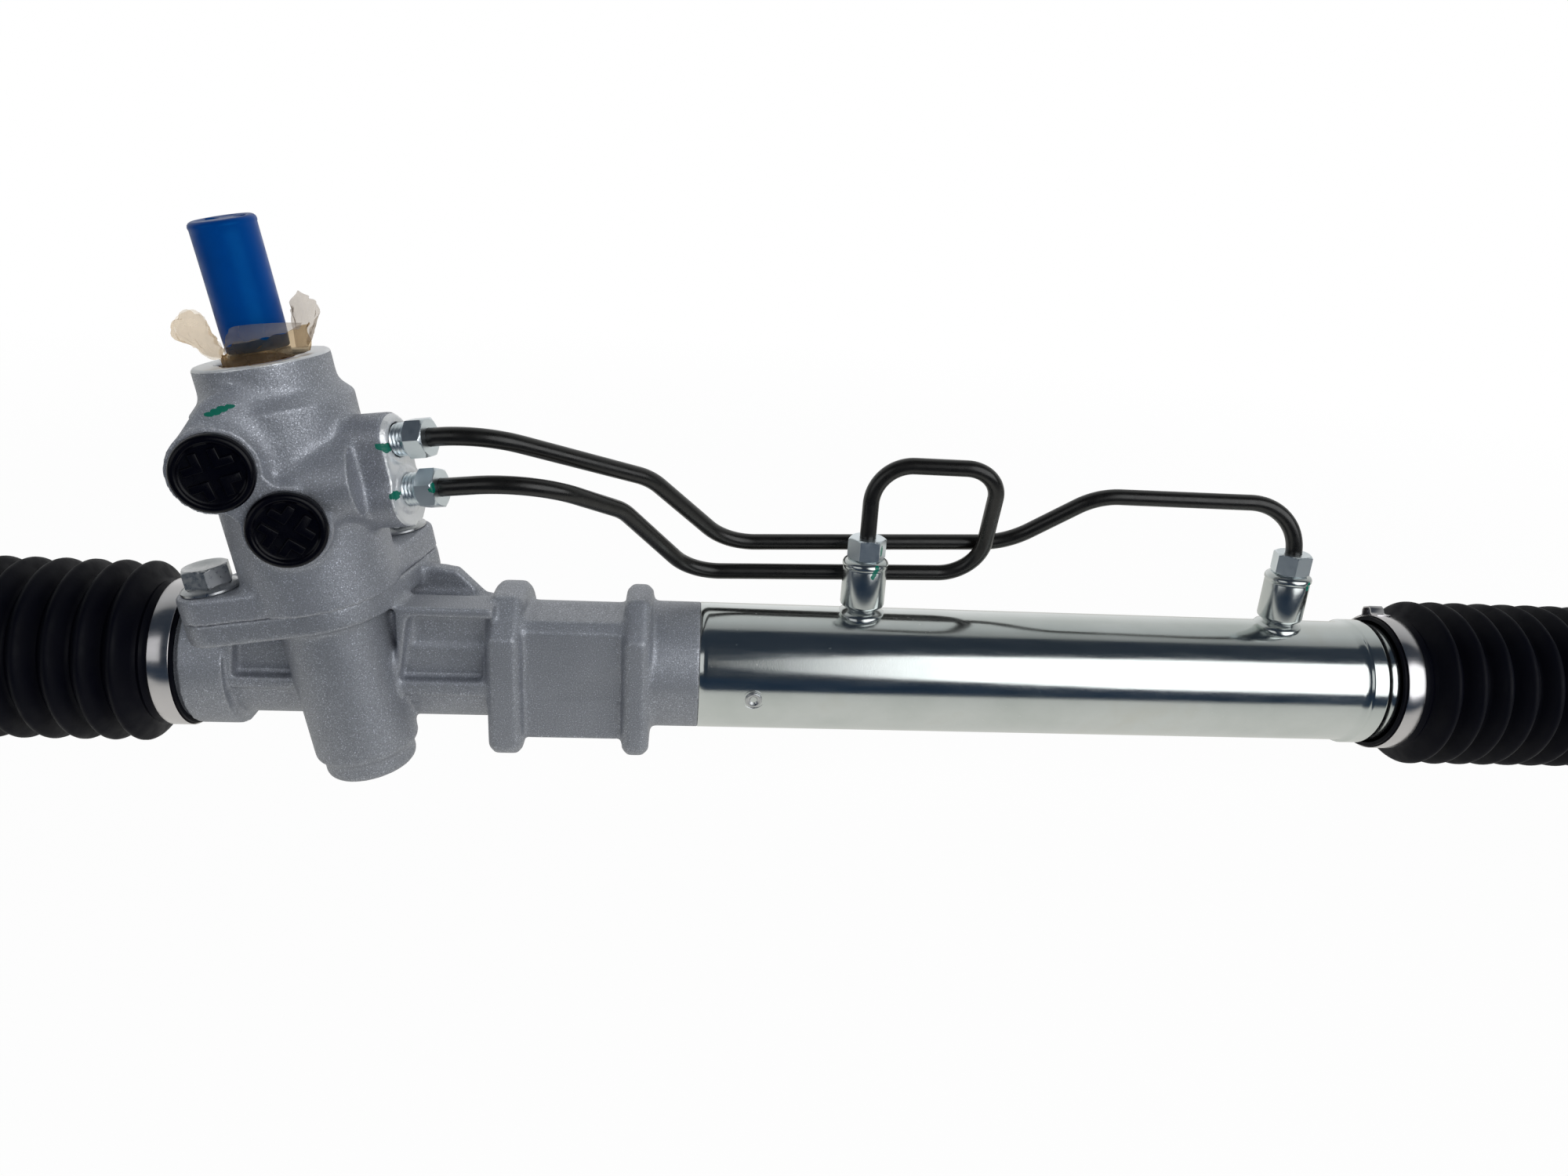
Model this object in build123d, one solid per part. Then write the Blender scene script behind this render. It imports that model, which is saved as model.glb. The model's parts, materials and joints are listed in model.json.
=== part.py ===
from build123d import *
import math
import os

# Hydraulic power steering rack, millimetres.
# X runs along the rack, Y points to the back, Z points up.
# The origin is on the rack axis, midway between the two ridges of the bush seat.

# Driving dimensions: rack bar and its teeth
RACK_RADIUS = 13.0
STROKE = 72.0
TOOTH_MODULE = 2.0
PRESSURE_ANGLE = 20.0
RACK_DEDENDUM = 2.5
TOOTH_PLAY = 0.12
TOOTH_MARGIN = 5.0
SLIDING_CLEARANCE = 0.05

# Driving dimensions: pinion
PINION_X = -79.7
PINION_LEAN = 10.0
PINION_TEETH = 7
PROFILE_SHIFT = 0.6
PINION_TIP_RADIUS = 9.8
PINION_TOOTH_LENGTH = 38.0
PINION_ROOT_GAP = 1.3
PINION_LOWER_JOURNAL_RADIUS = 6.0
PINION_UPPER_JOURNAL_RADIUS = 10.0
TORSION_BAR_RADIUS = 4.5
TORSION_BAR_FIT = 0.2

# Driving dimensions: gear housing
TUNNEL_RADIUS = 21.0
TUNNEL_BORE_GAP = 1.0
LEFT_COLLAR_X = -120.0
LEFT_COLLAR_LENGTH = 14.5
LEFT_COLLAR_RADIUS = 25.5
LEFT_SPIGOT_LENGTH = 17.5
SPIGOT_RADIUS = 24.2
BOOT_GROOVE_DEPTH = 0.8
BOSS_RADIUS = 17.8
BOSS_DEPTH = 28.0
BOSS_EDGE_ROUND = 3.5
END_CAP_RADIUS = 15.6
END_CAP_DEPTH = 7.5
PINION_BORE_RADIUS = 13.2
BOX_FRONT = 16.0
BOX_BACK = 2.0
BOX_TOP = 26.2
RIB_FRONT = 22.0
RIB_BOTTOM = -3.8
RIB_HEIGHT = 4.3
RIB_WIDTH = 4.0
LEDGE_HEIGHT = 3.8
GUSSET_THICKNESS = 6.0
GUSSET_TOP = 34.6
GUSSET_SLOPE = 1.4
GUSSET_KNEE = 14.0
GUSSET_FOOT = 4.6
GUSSET_FOOT_TOP = 23.6

# Driving dimensions: flange joint between the two housings
FLANGE_BOTTOM = 24.0
LOWER_FLANGE_THICKNESS = 8.0
UPPER_FLANGE_THICKNESS = 9.0
FLANGE_CENTRE_RADIUS = 22.5
FLANGE_EAR_RADIUS = 11.2
FLANGE_BOLT_SPOTS = ((-32.5, -9.6), (18.5, 36.0))
FLANGE_EDGE_ROUND = 1.2
FLANGE_BOLT_RADIUS = 5.0
FLANGE_BOLT_HEAD = 14.0
FLANGE_BOLT_HEAD_HEIGHT = 6.5
FLANGE_BOLT_WASHER_RADIUS = 9.4
FLANGE_BOLT_WASHER_HEIGHT = 1.8
FLANGE_BOLT_BITE = 6.5

# Driving dimensions: bush seat, the square neck that a bracket clamps
SEAT_LENGTH = 32.0
SEAT_RADIUS = 22.5
SEAT_FRONT = 20.0
SEAT_CHAMFER = 3.2
SEAT_LOW_CHAMFER = 0.8
RIDGE_RADIUS = 28.0
RIDGE_TOP = 29.9
RIDGE_FRONT = 25.0
RIDGE_TOP_CHAMFER = 12.0
RIDGE_LOW_CHAMFER = 3.6
RIDGE_EDGE = 2.2
LEFT_RIDGE_GAP = 3.4
LEFT_RIDGE_WIDTH = 12.1
RIGHT_RIDGE_WIDTH = 9.7
TUBE_COLLAR_LENGTH = 17.7

# Driving dimensions: rack guide behind the pinion
GUIDE_RADIUS = 16.0
GUIDE_BOSS_RADIUS = 21.0
GUIDE_BOSS_REACH = 38.0
GUIDE_LENGTH = 21.0
GUIDE_START = 4.0
GUIDE_FIT = 0.05
DISC_SPRING_THICKNESS = 1.2
DISC_SPRING_DISH = 1.0
GUIDE_PLUG_LENGTH = 15.0
GUIDE_PLUG_SOCKET = 17.0
GUIDE_PLUG_SOCKET_DEPTH = 7.0
LOCK_NUT_WIDTH = 41.0
LOCK_NUT_HEIGHT = 6.0

# Driving dimensions: valve housing
NECK_RADIUS = 25.0
NECK_TOP = 101.0
HEAD_RADIUS = 20.8
VALVE_TOP = 112.0
VALVE_BORE_RADIUS = 18.0
SEAL_BORE_RADIUS = 14.0
PORT_TURN = 15.0
LINE_PORT_HEIGHTS = (66.0, 82.5)
LINE_PORT_REACH = 40.0
LINE_PORT_RADIUS = 9.0
LINE_PORT_RING_RADIUS = 7.4
LINE_PORT_RING_HEIGHT = 0.8
LINE_PORT_DEPTH = 10.0
PLUG_TURN = 15.0
PLUG_SPOTS = ((-18.0, 84.0), (-2.5, 63.0))
PLUG_RADIUS = 12.0
PLUG_PROUD = 4.5
PLUG_STEM_RADIUS = 8.0
PLUG_STEM_LENGTH = 9.0
PLUG_RIB_HEIGHT = 0.9
PLUG_RIB_LENGTH = 7.6
PLUG_RIB_WIDTH = 3.0
PLUG_CROSS_GAP = 1.6
PAD_RADIUS = 13.4
PAD_REACH = 29.0
PAD_DEPTH = 31.0
GALLERY_RADIUS = 12.5
GALLERY_HEIGHT = 72.0
GALLERY_OFFSET = 13.0
GALLERY_LENGTH = 29.0

# Driving dimensions: valve inside the housing
UPPER_BEARING_WIDTH = 10.0
UPPER_BEARING_RADIUS = 19.0
LOWER_BEARING_WIDTH = 8.0
SLEEVE_START = 50.0
SLEEVE_LENGTH = 42.0
SLEEVE_RADIUS = 17.0
SPOOL_RADIUS = 12.0
SEAL_RING_WIDTH = 2.2
SEAL_RING_COUNT = 4
OIL_HOLE_RADIUS = 1.6
OIL_HOLE_COUNT = 6
TOP_BEARING_WIDTH = 8.0
TOP_SEAL_WIDTH = 6.0
SNAP_RING_WIDTH = 1.4
INPUT_JOURNAL_RADIUS = 9.5
SPLINE_RADIUS = 8.2
SPLINE_TOOTH_DEPTH = 0.7
SPLINE_TEETH = 30
SPLINE_LENGTH = 31.0
INPUT_TOP = 151.0
CLAMP_GROOVE_RADIUS = 2.6
SHAFT_CAP_RADIUS = 10.0
SHAFT_CAP_WALL = 1.5
SHAFT_CAP_BASE = 114.5
FILM_THICKNESS = 0.5
FILM_HEIGHT = 10.0
FILM_INNER_RADIUS = 10.8
FILM_FLARE = 6.0

# Driving dimensions: cylinder tube
TUBE_RADIUS = 23.5
TUBE_WALL = 2.5
TUBE_LENGTH = 278.6
INNER_SPIGOT_LENGTH = 38.6
END_BULGE_SETBACK = 24.8
END_BULGE_LENGTH = 7.6
END_BULGE_HEIGHT = 1.0
SET_PIN_X = 63.2
SET_PIN_RADIUS = 3.1
SET_PIN_DROP = 8.0
PORT_XS = (103.5, 267.7)
PORT_RADIUS = 8.2
PORT_NECK_RADIUS = 5.4
PORT_FOOT_RADIUS = 8.6
PORT_SHOULDER_Z = 29.5
PORT_TOP_Z = 44.5
PORT_NECK_BASE_Z = 25.2
PORT_TOP_CHAMFER = 1.3
RACK_SEAL_WIDTH = 7.0
RACK_SEAL_RADIUS = 17.4
END_BUSHING_LENGTH = 18.0
END_BUSHING_INSET = 21.0
END_SEAL_WIDTH = 6.5
PISTON_WIDTH = 14.0
PISTON_GAP = 0.4
PISTON_RING_WIDTH = 5.0
PISTON_RING_DEPTH = 2.0

# Driving dimensions: transfer lines
LINE_RADIUS = 3.0
LINE_NUT_WIDTH = 12.0
LINE_NUT_LENGTH = 8.0
LINE_NUT_SHANK_RADIUS = 5.4
LINE_NUT_SHANK_LENGTH = 3.0
LINE_BITE = 2.0
CYLINDER_NUT_WIDTH = 12.4
CYLINDER_NUT_LENGTH = 8.0

# Driving dimensions: boots and bands
BOOT_CREST_RADIUS = 32.4
BOOT_ROOT_RADIUS = 27.2
BOOT_WALL = 1.5
BOOT_PITCH = 10.3
BOOT_FOLDS = 12
BOOT_CUFF_LENGTH = 12.0
BOOT_TAIL_LENGTH = 26.0
BOOT_SMALL_LENGTH = 11.0
BOOT_FIT = 0.1
BAND_WIDTH = 7.0
BAND_THICKNESS = 0.6
BAND_EAR = 4.0
BAND_SETBACK = 2.5
CLIP_WIDTH = 5.0
CLIP_THICKNESS = 0.8

# Driving dimensions: ball joints and tie rods
END_STOP_GAP = 2.0
LOCK_WASHER_THICKNESS = 1.5
LOCK_WASHER_RADIUS = 15.0
SOCKET_RADIUS = 15.5
SOCKET_BACK = 18.0
SOCKET_FRONT = 13.0
SOCKET_STUD_RADIUS = 6.0
SOCKET_STUD_LENGTH = 18.0
SOCKET_FLAT_WIDTH = 27.0
SOCKET_FLAT_LENGTH = 9.0
BALL_RADIUS = 11.0
SEAT_WALL = 1.25
BALL_FIT = 0.05
LIP_ANGLE = 55.0
SOCKET_MOUTH_RADIUS = 13.2
SEAT_RIM = 5.2
ROD_NECK_RADIUS = 5.8
ROD_NECK_LENGTH = 26.0
ROD_RADIUS = 7.0
TIE_ROD_LENGTH = 255.0
THREAD_LENGTH = 62.0
JAM_NUT_WIDTH = 22.0
JAM_NUT_HEIGHT = 9.0

# Places worked out from the dimensions above
BORE_RADIUS = RACK_RADIUS + TUNNEL_BORE_GAP
PITCH_RADIUS = TOOTH_MODULE * PINION_TEETH / 2 / math.cos(math.radians(PINION_LEAN))
TOOTH_PITCH = math.pi * TOOTH_MODULE
RACK_FLAT = math.sqrt(RACK_RADIUS**2 - (RACK_RADIUS / 2) ** 2)
PITCH_PLANE = RACK_FLAT - TOOTH_MODULE
PINION_Y = -(PITCH_PLANE + PITCH_RADIUS + PROFILE_SHIFT * TOOTH_MODULE)
JOINT_HEIGHT = FLANGE_BOTTOM + LOWER_FLANGE_THICKNESS
FLANGE_TOP = JOINT_HEIGHT + UPPER_FLANGE_THICKNESS
SEAT_HALF = SEAT_LENGTH / 2
LEFT_RIDGE_X = -SEAT_HALF - LEFT_RIDGE_GAP - LEFT_RIDGE_WIDTH
RIGHT_RIDGE_X = SEAT_HALF + RIGHT_RIDGE_WIDTH
TUBE_X = RIGHT_RIDGE_X + TUBE_COLLAR_LENGTH
TUBE_END = TUBE_X + TUBE_LENGTH
END_BULGE_X = TUBE_END - END_BULGE_SETBACK
TUBE_BORE = TUBE_RADIUS - TUBE_WALL
SPIGOT_END = TUBE_X + INNER_SPIGOT_LENGTH
HOUSING_END = LEFT_COLLAR_X - LEFT_COLLAR_LENGTH - LEFT_SPIGOT_LENGTH
BEARING_FLOOR = -BOSS_DEPTH - 3.0
PISTON_X = (PORT_XS[0] + PORT_XS[1]) / 2
LEFT_STOP = HOUSING_END - STROKE - END_STOP_GAP
RIGHT_STOP = TUBE_END + STROKE + END_STOP_GAP
LEFT_BALL_X = LEFT_STOP - SOCKET_BACK
RIGHT_BALL_X = RIGHT_STOP + SOCKET_BACK
RACK_LEFT = LEFT_STOP + LOCK_WASHER_THICKNESS
RACK_RIGHT = RIGHT_STOP - LOCK_WASHER_THICKNESS
CAVITY_RADIUS = BALL_RADIUS + SEAT_WALL + 2 * BALL_FIT
SLEEVE_END = SLEEVE_START + SLEEVE_LENGTH
TOP_BEARING_START = SLEEVE_END + 3.0
TOP_SEAL_START = TOP_BEARING_START + TOP_BEARING_WIDTH
SNAP_RING_START = TOP_SEAL_START + TOP_SEAL_WIDTH
PLUG_SEAT = PAD_REACH

PINION_FRAME = Plane(
    origin=(PINION_X, PINION_Y, 0),
    x_dir=(math.cos(math.radians(PINION_LEAN)), 0, math.sin(math.radians(PINION_LEAN))),
    z_dir=(-math.sin(math.radians(PINION_LEAN)), 0, math.cos(math.radians(PINION_LEAN))),
)


def across(x):
    """Plane square to the rack axis, its own x along Y and its own y along Z."""
    return Plane(origin=(x, 0, 0), x_dir=(0, 1, 0), z_dir=(1, 0, 0))


def disc_x(radius, start, end):
    """Round bar along the rack axis."""
    return extrude(across(start) * Circle(radius), end - start)


def disc_z(radius, start, end):
    """Round bar along Z, or along the pinion axis in the pinion's own frame."""
    return Pos(0, 0, start) * extrude(Circle(radius), end - start)


def ring_x(outer, inner, start, end):
    return disc_x(outer, start, end) - disc_x(inner, start, end)


def ring_z(outer, inner, start, end):
    return disc_z(outer, start, end) - disc_z(inner, start, end)


def turned_x(*profile):
    """Solid of revolution about the rack axis from (x, radius) corners."""
    return revolve(make_face(Plane.XZ * Polyline(*profile, close=True)), Axis.X)


def turned_z(*profile):
    """Solid of revolution about Z from (radius, height) corners."""
    return revolve(make_face(Plane.XZ * Polyline(*profile, close=True)), Axis.Z)


def block(x_range, y_range, z_range):
    """Box between two values on each axis."""
    sizes = [high - low for low, high in (x_range, y_range, z_range)]
    middle = [(high + low) / 2 for low, high in (x_range, y_range, z_range)]
    return Pos(*middle) * Box(*sizes)


def hexagon(width, height):
    """Hexagonal prism on Z with its upper corners turned off."""
    corner = width / math.sqrt(3)
    prism = extrude(RegularPolygon(width / 2, 6, major_radius=False), height)
    slope = corner - width / 2
    cone = turned_z(
        (0, 0),
        (corner + slope, 0),
        (corner + slope, height - slope),
        (width / 2 - slope / 4, height),
        (0, height),
    )
    return prism & cone


def direction_frame(turn, height, reach=0.0, sideways=0.0):
    """Frame in the pinion's own axes whose z leaves the pinion axis at an angle from its x."""
    out = Vector(math.cos(math.radians(turn)), math.sin(math.radians(turn)), 0)
    side = Vector(0, 0, 1).cross(out)
    origin = out * reach + side * sideways + Vector(0, 0, height)
    return Plane(origin=origin, x_dir=side, z_dir=out)


LINE_PORT_FRAMES = [direction_frame(-PORT_TURN, height, LINE_PORT_REACH) for height in LINE_PORT_HEIGHTS]
PLUG_FRAMES = [
    direction_frame(-90 + PLUG_TURN, height, PLUG_SEAT, sideways) for sideways, height in PLUG_SPOTS
]


def flange_outline():
    """Outline of the flange joint: a round middle with two bolt ears."""
    circles = Circle(FLANGE_CENTRE_RADIUS)
    for x, y in FLANGE_BOLT_SPOTS:
        circles += Pos(x, y) * Circle(FLANGE_EAR_RADIUS)
    return make_hull(circles.edges())


def flange_plate(bottom, thickness):
    plate = Pos(0, 0, bottom) * extrude(flange_outline(), thickness)
    return plate


def seat_neck():
    """Neck between the ridges: flat in front, round behind."""
    outline = Polyline(
        (0, -SEAT_RADIUS),
        (-SEAT_FRONT + SEAT_LOW_CHAMFER, -SEAT_RADIUS),
        (-SEAT_FRONT, -SEAT_RADIUS + SEAT_LOW_CHAMFER),
        (-SEAT_FRONT, SEAT_RADIUS - SEAT_CHAMFER),
        (-SEAT_FRONT + SEAT_CHAMFER, SEAT_RADIUS),
        (0, SEAT_RADIUS),
    )
    back = ThreePointArc((0, SEAT_RADIUS), (SEAT_RADIUS, 0), (0, -SEAT_RADIUS))
    start = LEFT_RIDGE_X + LEFT_RIDGE_WIDTH - 1
    return extrude(across(start) * make_face(outline + back), SEAT_HALF + 1 - start)


def ridge_slab(x, width):
    """Ridge beside the neck: square in front with a deep upper chamfer, round behind."""
    front = -RIDGE_FRONT
    outline = Polyline(
        (0, -RIDGE_RADIUS),
        (front + RIDGE_LOW_CHAMFER, -RIDGE_RADIUS),
        (front, -RIDGE_RADIUS + RIDGE_LOW_CHAMFER),
        (front, RIDGE_TOP - RIDGE_TOP_CHAMFER),
        (front + RIDGE_TOP_CHAMFER, RIDGE_TOP),
        (0, RIDGE_TOP),
    )
    middle = (RIDGE_TOP - RIDGE_RADIUS) / 2
    back = ThreePointArc((0, RIDGE_TOP), (RIDGE_RADIUS, middle), (0, -RIDGE_RADIUS))
    slab = extrude(across(x) * make_face(outline + back), width)
    rims = [f for f in slab.faces() if abs(f.normal_at().X) > 0.9]
    return chamfer([e for f in rims for e in f.edges()], RIDGE_EDGE)


def gusset():
    """Upright web from under the flange down to the left ridge."""
    left = PINION_X
    right = LEFT_RIDGE_X + RIDGE_EDGE + 0.5
    outline = Polyline(
        (left, 0),
        (left, FLANGE_BOTTOM),
        (left + FLANGE_CENTRE_RADIUS, GUSSET_TOP),
        (LEFT_RIDGE_X - GUSSET_KNEE, GUSSET_TOP - GUSSET_SLOPE),
        (LEFT_RIDGE_X - GUSSET_FOOT, GUSSET_FOOT_TOP),
        (right, GUSSET_FOOT_TOP - GUSSET_SLOPE),
        (right, 0),
        close=True,
    )
    half = GUSSET_THICKNESS / 2
    return Pos(0, half, 0) * extrude(make_face(Plane.XZ * outline), GUSSET_THICKNESS)


def tunnel_webs():
    """Ribs and the flat web on the front of the rack tunnel."""
    left = LEFT_COLLAR_X
    right = LEFT_RIDGE_X + RIDGE_EDGE + 0.5
    body = block((left, right), (-BOX_FRONT, BOX_BACK), (0, BOX_TOP - LEDGE_HEIGHT / 2))
    front = (-RIB_FRONT, -BOX_FRONT / 2)
    body += block((left, right), front, (RIB_BOTTOM, RIB_BOTTOM + RIB_HEIGHT))
    body += block((left, left + RIB_WIDTH), front, (RIB_BOTTOM, BOX_TOP - LEDGE_HEIGHT))
    ledge_left = PINION_X + BOSS_RADIUS
    body += block((ledge_left, right), front, (BOX_TOP - LEDGE_HEIGHT / 2, BOX_TOP + LEDGE_HEIGHT / 2))
    body += block((ledge_left, ledge_left + RIB_WIDTH), front, (RIB_BOTTOM, BOX_TOP))
    return body


def pinion_boss():
    """Round boss that holds the pinion, with its stepped blind end."""
    low = -BOSS_DEPTH
    end = low - END_CAP_DEPTH
    soft = BOSS_EDGE_ROUND
    profile = Polyline((0, end), (END_CAP_RADIUS - soft, end))
    profile += RadiusArc((END_CAP_RADIUS - soft, end), (END_CAP_RADIUS, end + soft), -soft)
    profile += Polyline((END_CAP_RADIUS, end + soft), (END_CAP_RADIUS, low))
    step = BOSS_RADIUS - END_CAP_RADIUS
    profile += RadiusArc((END_CAP_RADIUS, low), (BOSS_RADIUS, low + step), -step)
    top = FLANGE_BOTTOM + 1
    profile += Polyline((BOSS_RADIUS, low + step), (BOSS_RADIUS, top), (0, top), (0, end))
    return revolve(make_face(Plane.XZ * profile), Axis.Z)


def guide_boss():
    """Boss at the back that holds the rack guide and its plug."""
    plane = Plane(origin=(PINION_X, 0, 0), x_dir=(1, 0, 0), z_dir=(0, 1, 0))
    outer = extrude(plane * Circle(GUIDE_BOSS_RADIUS), GUIDE_BOSS_REACH)
    return chamfer(outer.faces().sort_by(Axis.Y)[-1].edges(), 1.5)


def guide_bore():
    plane = Plane(origin=(PINION_X, 0, 0), x_dir=(1, 0, 0), z_dir=(0, 1, 0))
    return extrude(plane * Circle(GUIDE_RADIUS), GUIDE_BOSS_REACH + 1)


def boot_spigot(start, end, radius, groove_x):
    """Round end that a boot cuff grips, with its shallow groove."""
    spigot = disc_x(radius, start, end)
    return spigot - ring_x(radius + 1, radius - BOOT_GROOVE_DEPTH, groove_x, groove_x + BAND_WIDTH)


def bearing_bore():
    return disc_z(PINION_BORE_RADIUS, BEARING_FLOOR, JOINT_HEIGHT + 1)


def make_gear_housing():
    collar_left = LEFT_COLLAR_X - LEFT_COLLAR_LENGTH
    body = disc_x(TUNNEL_RADIUS, LEFT_COLLAR_X - 1, LEFT_RIDGE_X + 1)
    body += tunnel_webs()
    body += PINION_FRAME * pinion_boss()
    lower_flange = flange_plate(FLANGE_BOTTOM, LOWER_FLANGE_THICKNESS)
    lower_rim = lower_flange.faces().sort_by(Axis.Z)[0].edges()
    body += PINION_FRAME * fillet(lower_rim, FLANGE_EDGE_ROUND)
    body += guide_boss()
    body += gusset()
    body += seat_neck()
    body += ridge_slab(LEFT_RIDGE_X, LEFT_RIDGE_WIDTH)
    body += ridge_slab(SEAT_HALF, RIGHT_RIDGE_WIDTH)
    body += disc_x(TUBE_RADIUS, RIGHT_RIDGE_X - 1, TUBE_X)
    body += disc_x(LEFT_COLLAR_RADIUS, collar_left, LEFT_COLLAR_X)
    body += boot_spigot(HOUSING_END, collar_left + 1, SPIGOT_RADIUS, left_band_x())
    body += disc_x(TUBE_BORE - SLIDING_CLEARANCE, TUBE_X - 1, SPIGOT_END)
    body -= disc_x(BORE_RADIUS, HOUSING_END - 1, SPIGOT_END + 1)
    body -= disc_x(RACK_SEAL_RADIUS, SPIGOT_END - RACK_SEAL_WIDTH, SPIGOT_END + 1)
    body -= PINION_FRAME * bearing_bore()
    body -= guide_bore()
    body -= set_pin_hole()
    for x, y in FLANGE_BOLT_SPOTS:
        depth = FLANGE_BOLT_BITE + 0.5
        hole = disc_z(FLANGE_BOLT_RADIUS, JOINT_HEIGHT - depth, JOINT_HEIGHT + 1)
        body -= PINION_FRAME * (Pos(x, y) * hole)
    return body


def left_band_x():
    """Left edge of the left band, on the spigot just outside the collar."""
    return LEFT_COLLAR_X - LEFT_COLLAR_LENGTH - BAND_SETBACK - BAND_WIDTH


def right_band_x():
    """Left edge of the right band, past the rolled end of the tube."""
    return END_BULGE_X + END_BULGE_LENGTH + BAND_SETBACK + 3.0


def set_pin_frame():
    angle = math.radians(SET_PIN_DROP)
    out = Vector(0, -math.cos(angle), -math.sin(angle))
    return Plane(origin=(SET_PIN_X, 0, 0), x_dir=(1, 0, 0), z_dir=out)


def set_pin_hole():
    return extrude(set_pin_frame() * Circle(SET_PIN_RADIUS), TUBE_RADIUS + 2) - disc_x(
        TUBE_BORE - TUBE_WALL, SET_PIN_X - 10, SET_PIN_X + 10
    )


def make_tube_set_pin():
    """Peened pin that locks the tube on the casting."""
    depth = TUBE_BORE - TUBE_WALL
    pin = extrude(set_pin_frame() * Circle(SET_PIN_RADIUS - SLIDING_CLEARANCE), TUBE_RADIUS - 0.4)
    pin -= disc_x(depth + SLIDING_CLEARANCE, SET_PIN_X - 10, SET_PIN_X + 10)
    dimple = set_pin_frame().offset(TUBE_RADIUS - 1.6) * Circle(SET_PIN_RADIUS * 0.55)
    return pin - extrude(dimple, 3)


def port_block():
    """Block on the right of the valve housing, with one boss for each line."""
    low, high = LINE_PORT_HEIGHTS
    frame = direction_frame(-PORT_TURN, (low + high) / 2)
    stadium = SlotCenterToCenter(high - low, 2 * LINE_PORT_RADIUS, rotation=90)
    body = extrude(frame * stadium, LINE_PORT_REACH)
    end = body.faces().sort_by(Axis.X)[-1]
    return chamfer(end.edges(), 1.2)


def plug_pad():
    """Figure-eight pad that carries the two port plugs."""
    circles = Sketch()
    for sideways, height in PLUG_SPOTS:
        circles += Pos(sideways, height) * Circle(PAD_RADIUS)
    (x0, y0), (x1, y1) = PLUG_SPOTS
    bridge = Line((x0, y0), (x1, y1))
    circles += trace(bridge, PAD_RADIUS * 1.2)
    frame = direction_frame(-90 + PLUG_TURN, 0, PAD_REACH - PAD_DEPTH)
    return extrude(frame * circles, PAD_DEPTH)


def gallery():
    """Cast bulge over the cross-drilled oil way, between the pad and the port block."""
    start = direction_frame(-90 + PLUG_TURN, GALLERY_HEIGHT, GALLERY_OFFSET, -PAD_RADIUS / 2)
    along = Plane(origin=start.origin, x_dir=(0, 0, 1), z_dir=(1, 0, 0))
    return extrude(along * Circle(GALLERY_RADIUS), GALLERY_LENGTH)


def make_valve_housing():
    """Cast valve housing on the pinion axis, with its flange, pad and port block."""
    flange = flange_plate(JOINT_HEIGHT, UPPER_FLANGE_THICKNESS)
    flange = fillet(flange.faces().sort_by(Axis.Z)[-1].edges(), FLANGE_EDGE_ROUND)
    soft = (NECK_RADIUS - HEAD_RADIUS) * 0.8
    foot = 5.0
    body = turned_z(
        (0, JOINT_HEIGHT),
        (NECK_RADIUS, JOINT_HEIGHT),
        (NECK_RADIUS, FLANGE_TOP + foot),
        (NECK_RADIUS, NECK_TOP - soft),
        (NECK_RADIUS - soft, NECK_TOP),
        (HEAD_RADIUS, NECK_TOP),
        (HEAD_RADIUS, VALVE_TOP - 0.8),
        (HEAD_RADIUS - 0.8, VALVE_TOP),
        (0, VALVE_TOP),
    )
    body += flange
    body += port_block() + plug_pad() + gallery()
    for frame in LINE_PORT_FRAMES:
        body += extrude(frame * Circle(LINE_PORT_RING_RADIUS), LINE_PORT_RING_HEIGHT)
    hole = Circle(LINE_NUT_SHANK_RADIUS + SLIDING_CLEARANCE)
    for frame in LINE_PORT_FRAMES:
        body -= extrude(frame * hole, LINE_PORT_RING_HEIGHT + 1)
        body -= extrude(frame * hole, -LINE_PORT_DEPTH)
    for frame in PLUG_FRAMES:
        body -= extrude(frame * Circle(PLUG_STEM_RADIUS + SLIDING_CLEARANCE), -PLUG_STEM_LENGTH - 1)
        body -= extrude(frame * Circle(PLUG_RADIUS + 2 * SLIDING_CLEARANCE), PLUG_PROUD + 1)
    bearing_top = JOINT_HEIGHT + UPPER_BEARING_WIDTH
    body -= disc_z(UPPER_BEARING_RADIUS + SLIDING_CLEARANCE, JOINT_HEIGHT - 1, bearing_top)
    body -= disc_z(VALVE_BORE_RADIUS, JOINT_HEIGHT, SLEEVE_END + 2)
    body -= disc_z(SEAL_BORE_RADIUS, JOINT_HEIGHT, VALVE_TOP + 1)
    for x, y in FLANGE_BOLT_SPOTS:
        body -= Pos(x, y) * disc_z(FLANGE_BOLT_RADIUS + 0.3, JOINT_HEIGHT - 1, FLANGE_TOP + 1)
        body -= Pos(x, y) * disc_z(FLANGE_BOLT_WASHER_RADIUS + 0.6, FLANGE_TOP, FLANGE_TOP + 12)
    return PINION_FRAME * body


def make_flange_bolts():
    bolts = []
    for x, y in FLANGE_BOLT_SPOTS:
        washer = turned_z(
            (0, 0),
            (FLANGE_BOLT_WASHER_RADIUS, 0),
            (FLANGE_BOLT_WASHER_RADIUS, FLANGE_BOLT_WASHER_HEIGHT * 0.5),
            (FLANGE_BOLT_HEAD / 2, FLANGE_BOLT_WASHER_HEIGHT * 1.6),
            (0, FLANGE_BOLT_WASHER_HEIGHT * 1.6),
        )
        head = Pos(0, 0, FLANGE_BOLT_WASHER_HEIGHT) * hexagon(FLANGE_BOLT_HEAD, FLANGE_BOLT_HEAD_HEIGHT)
        length = UPPER_FLANGE_THICKNESS + FLANGE_BOLT_BITE
        shank = disc_z(FLANGE_BOLT_RADIUS - SLIDING_CLEARANCE, -length, 0)
        bolts.append(PINION_FRAME * (Pos(x, y, FLANGE_TOP) * (washer + head + shank)))
    return Compound(children=bolts)


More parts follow.
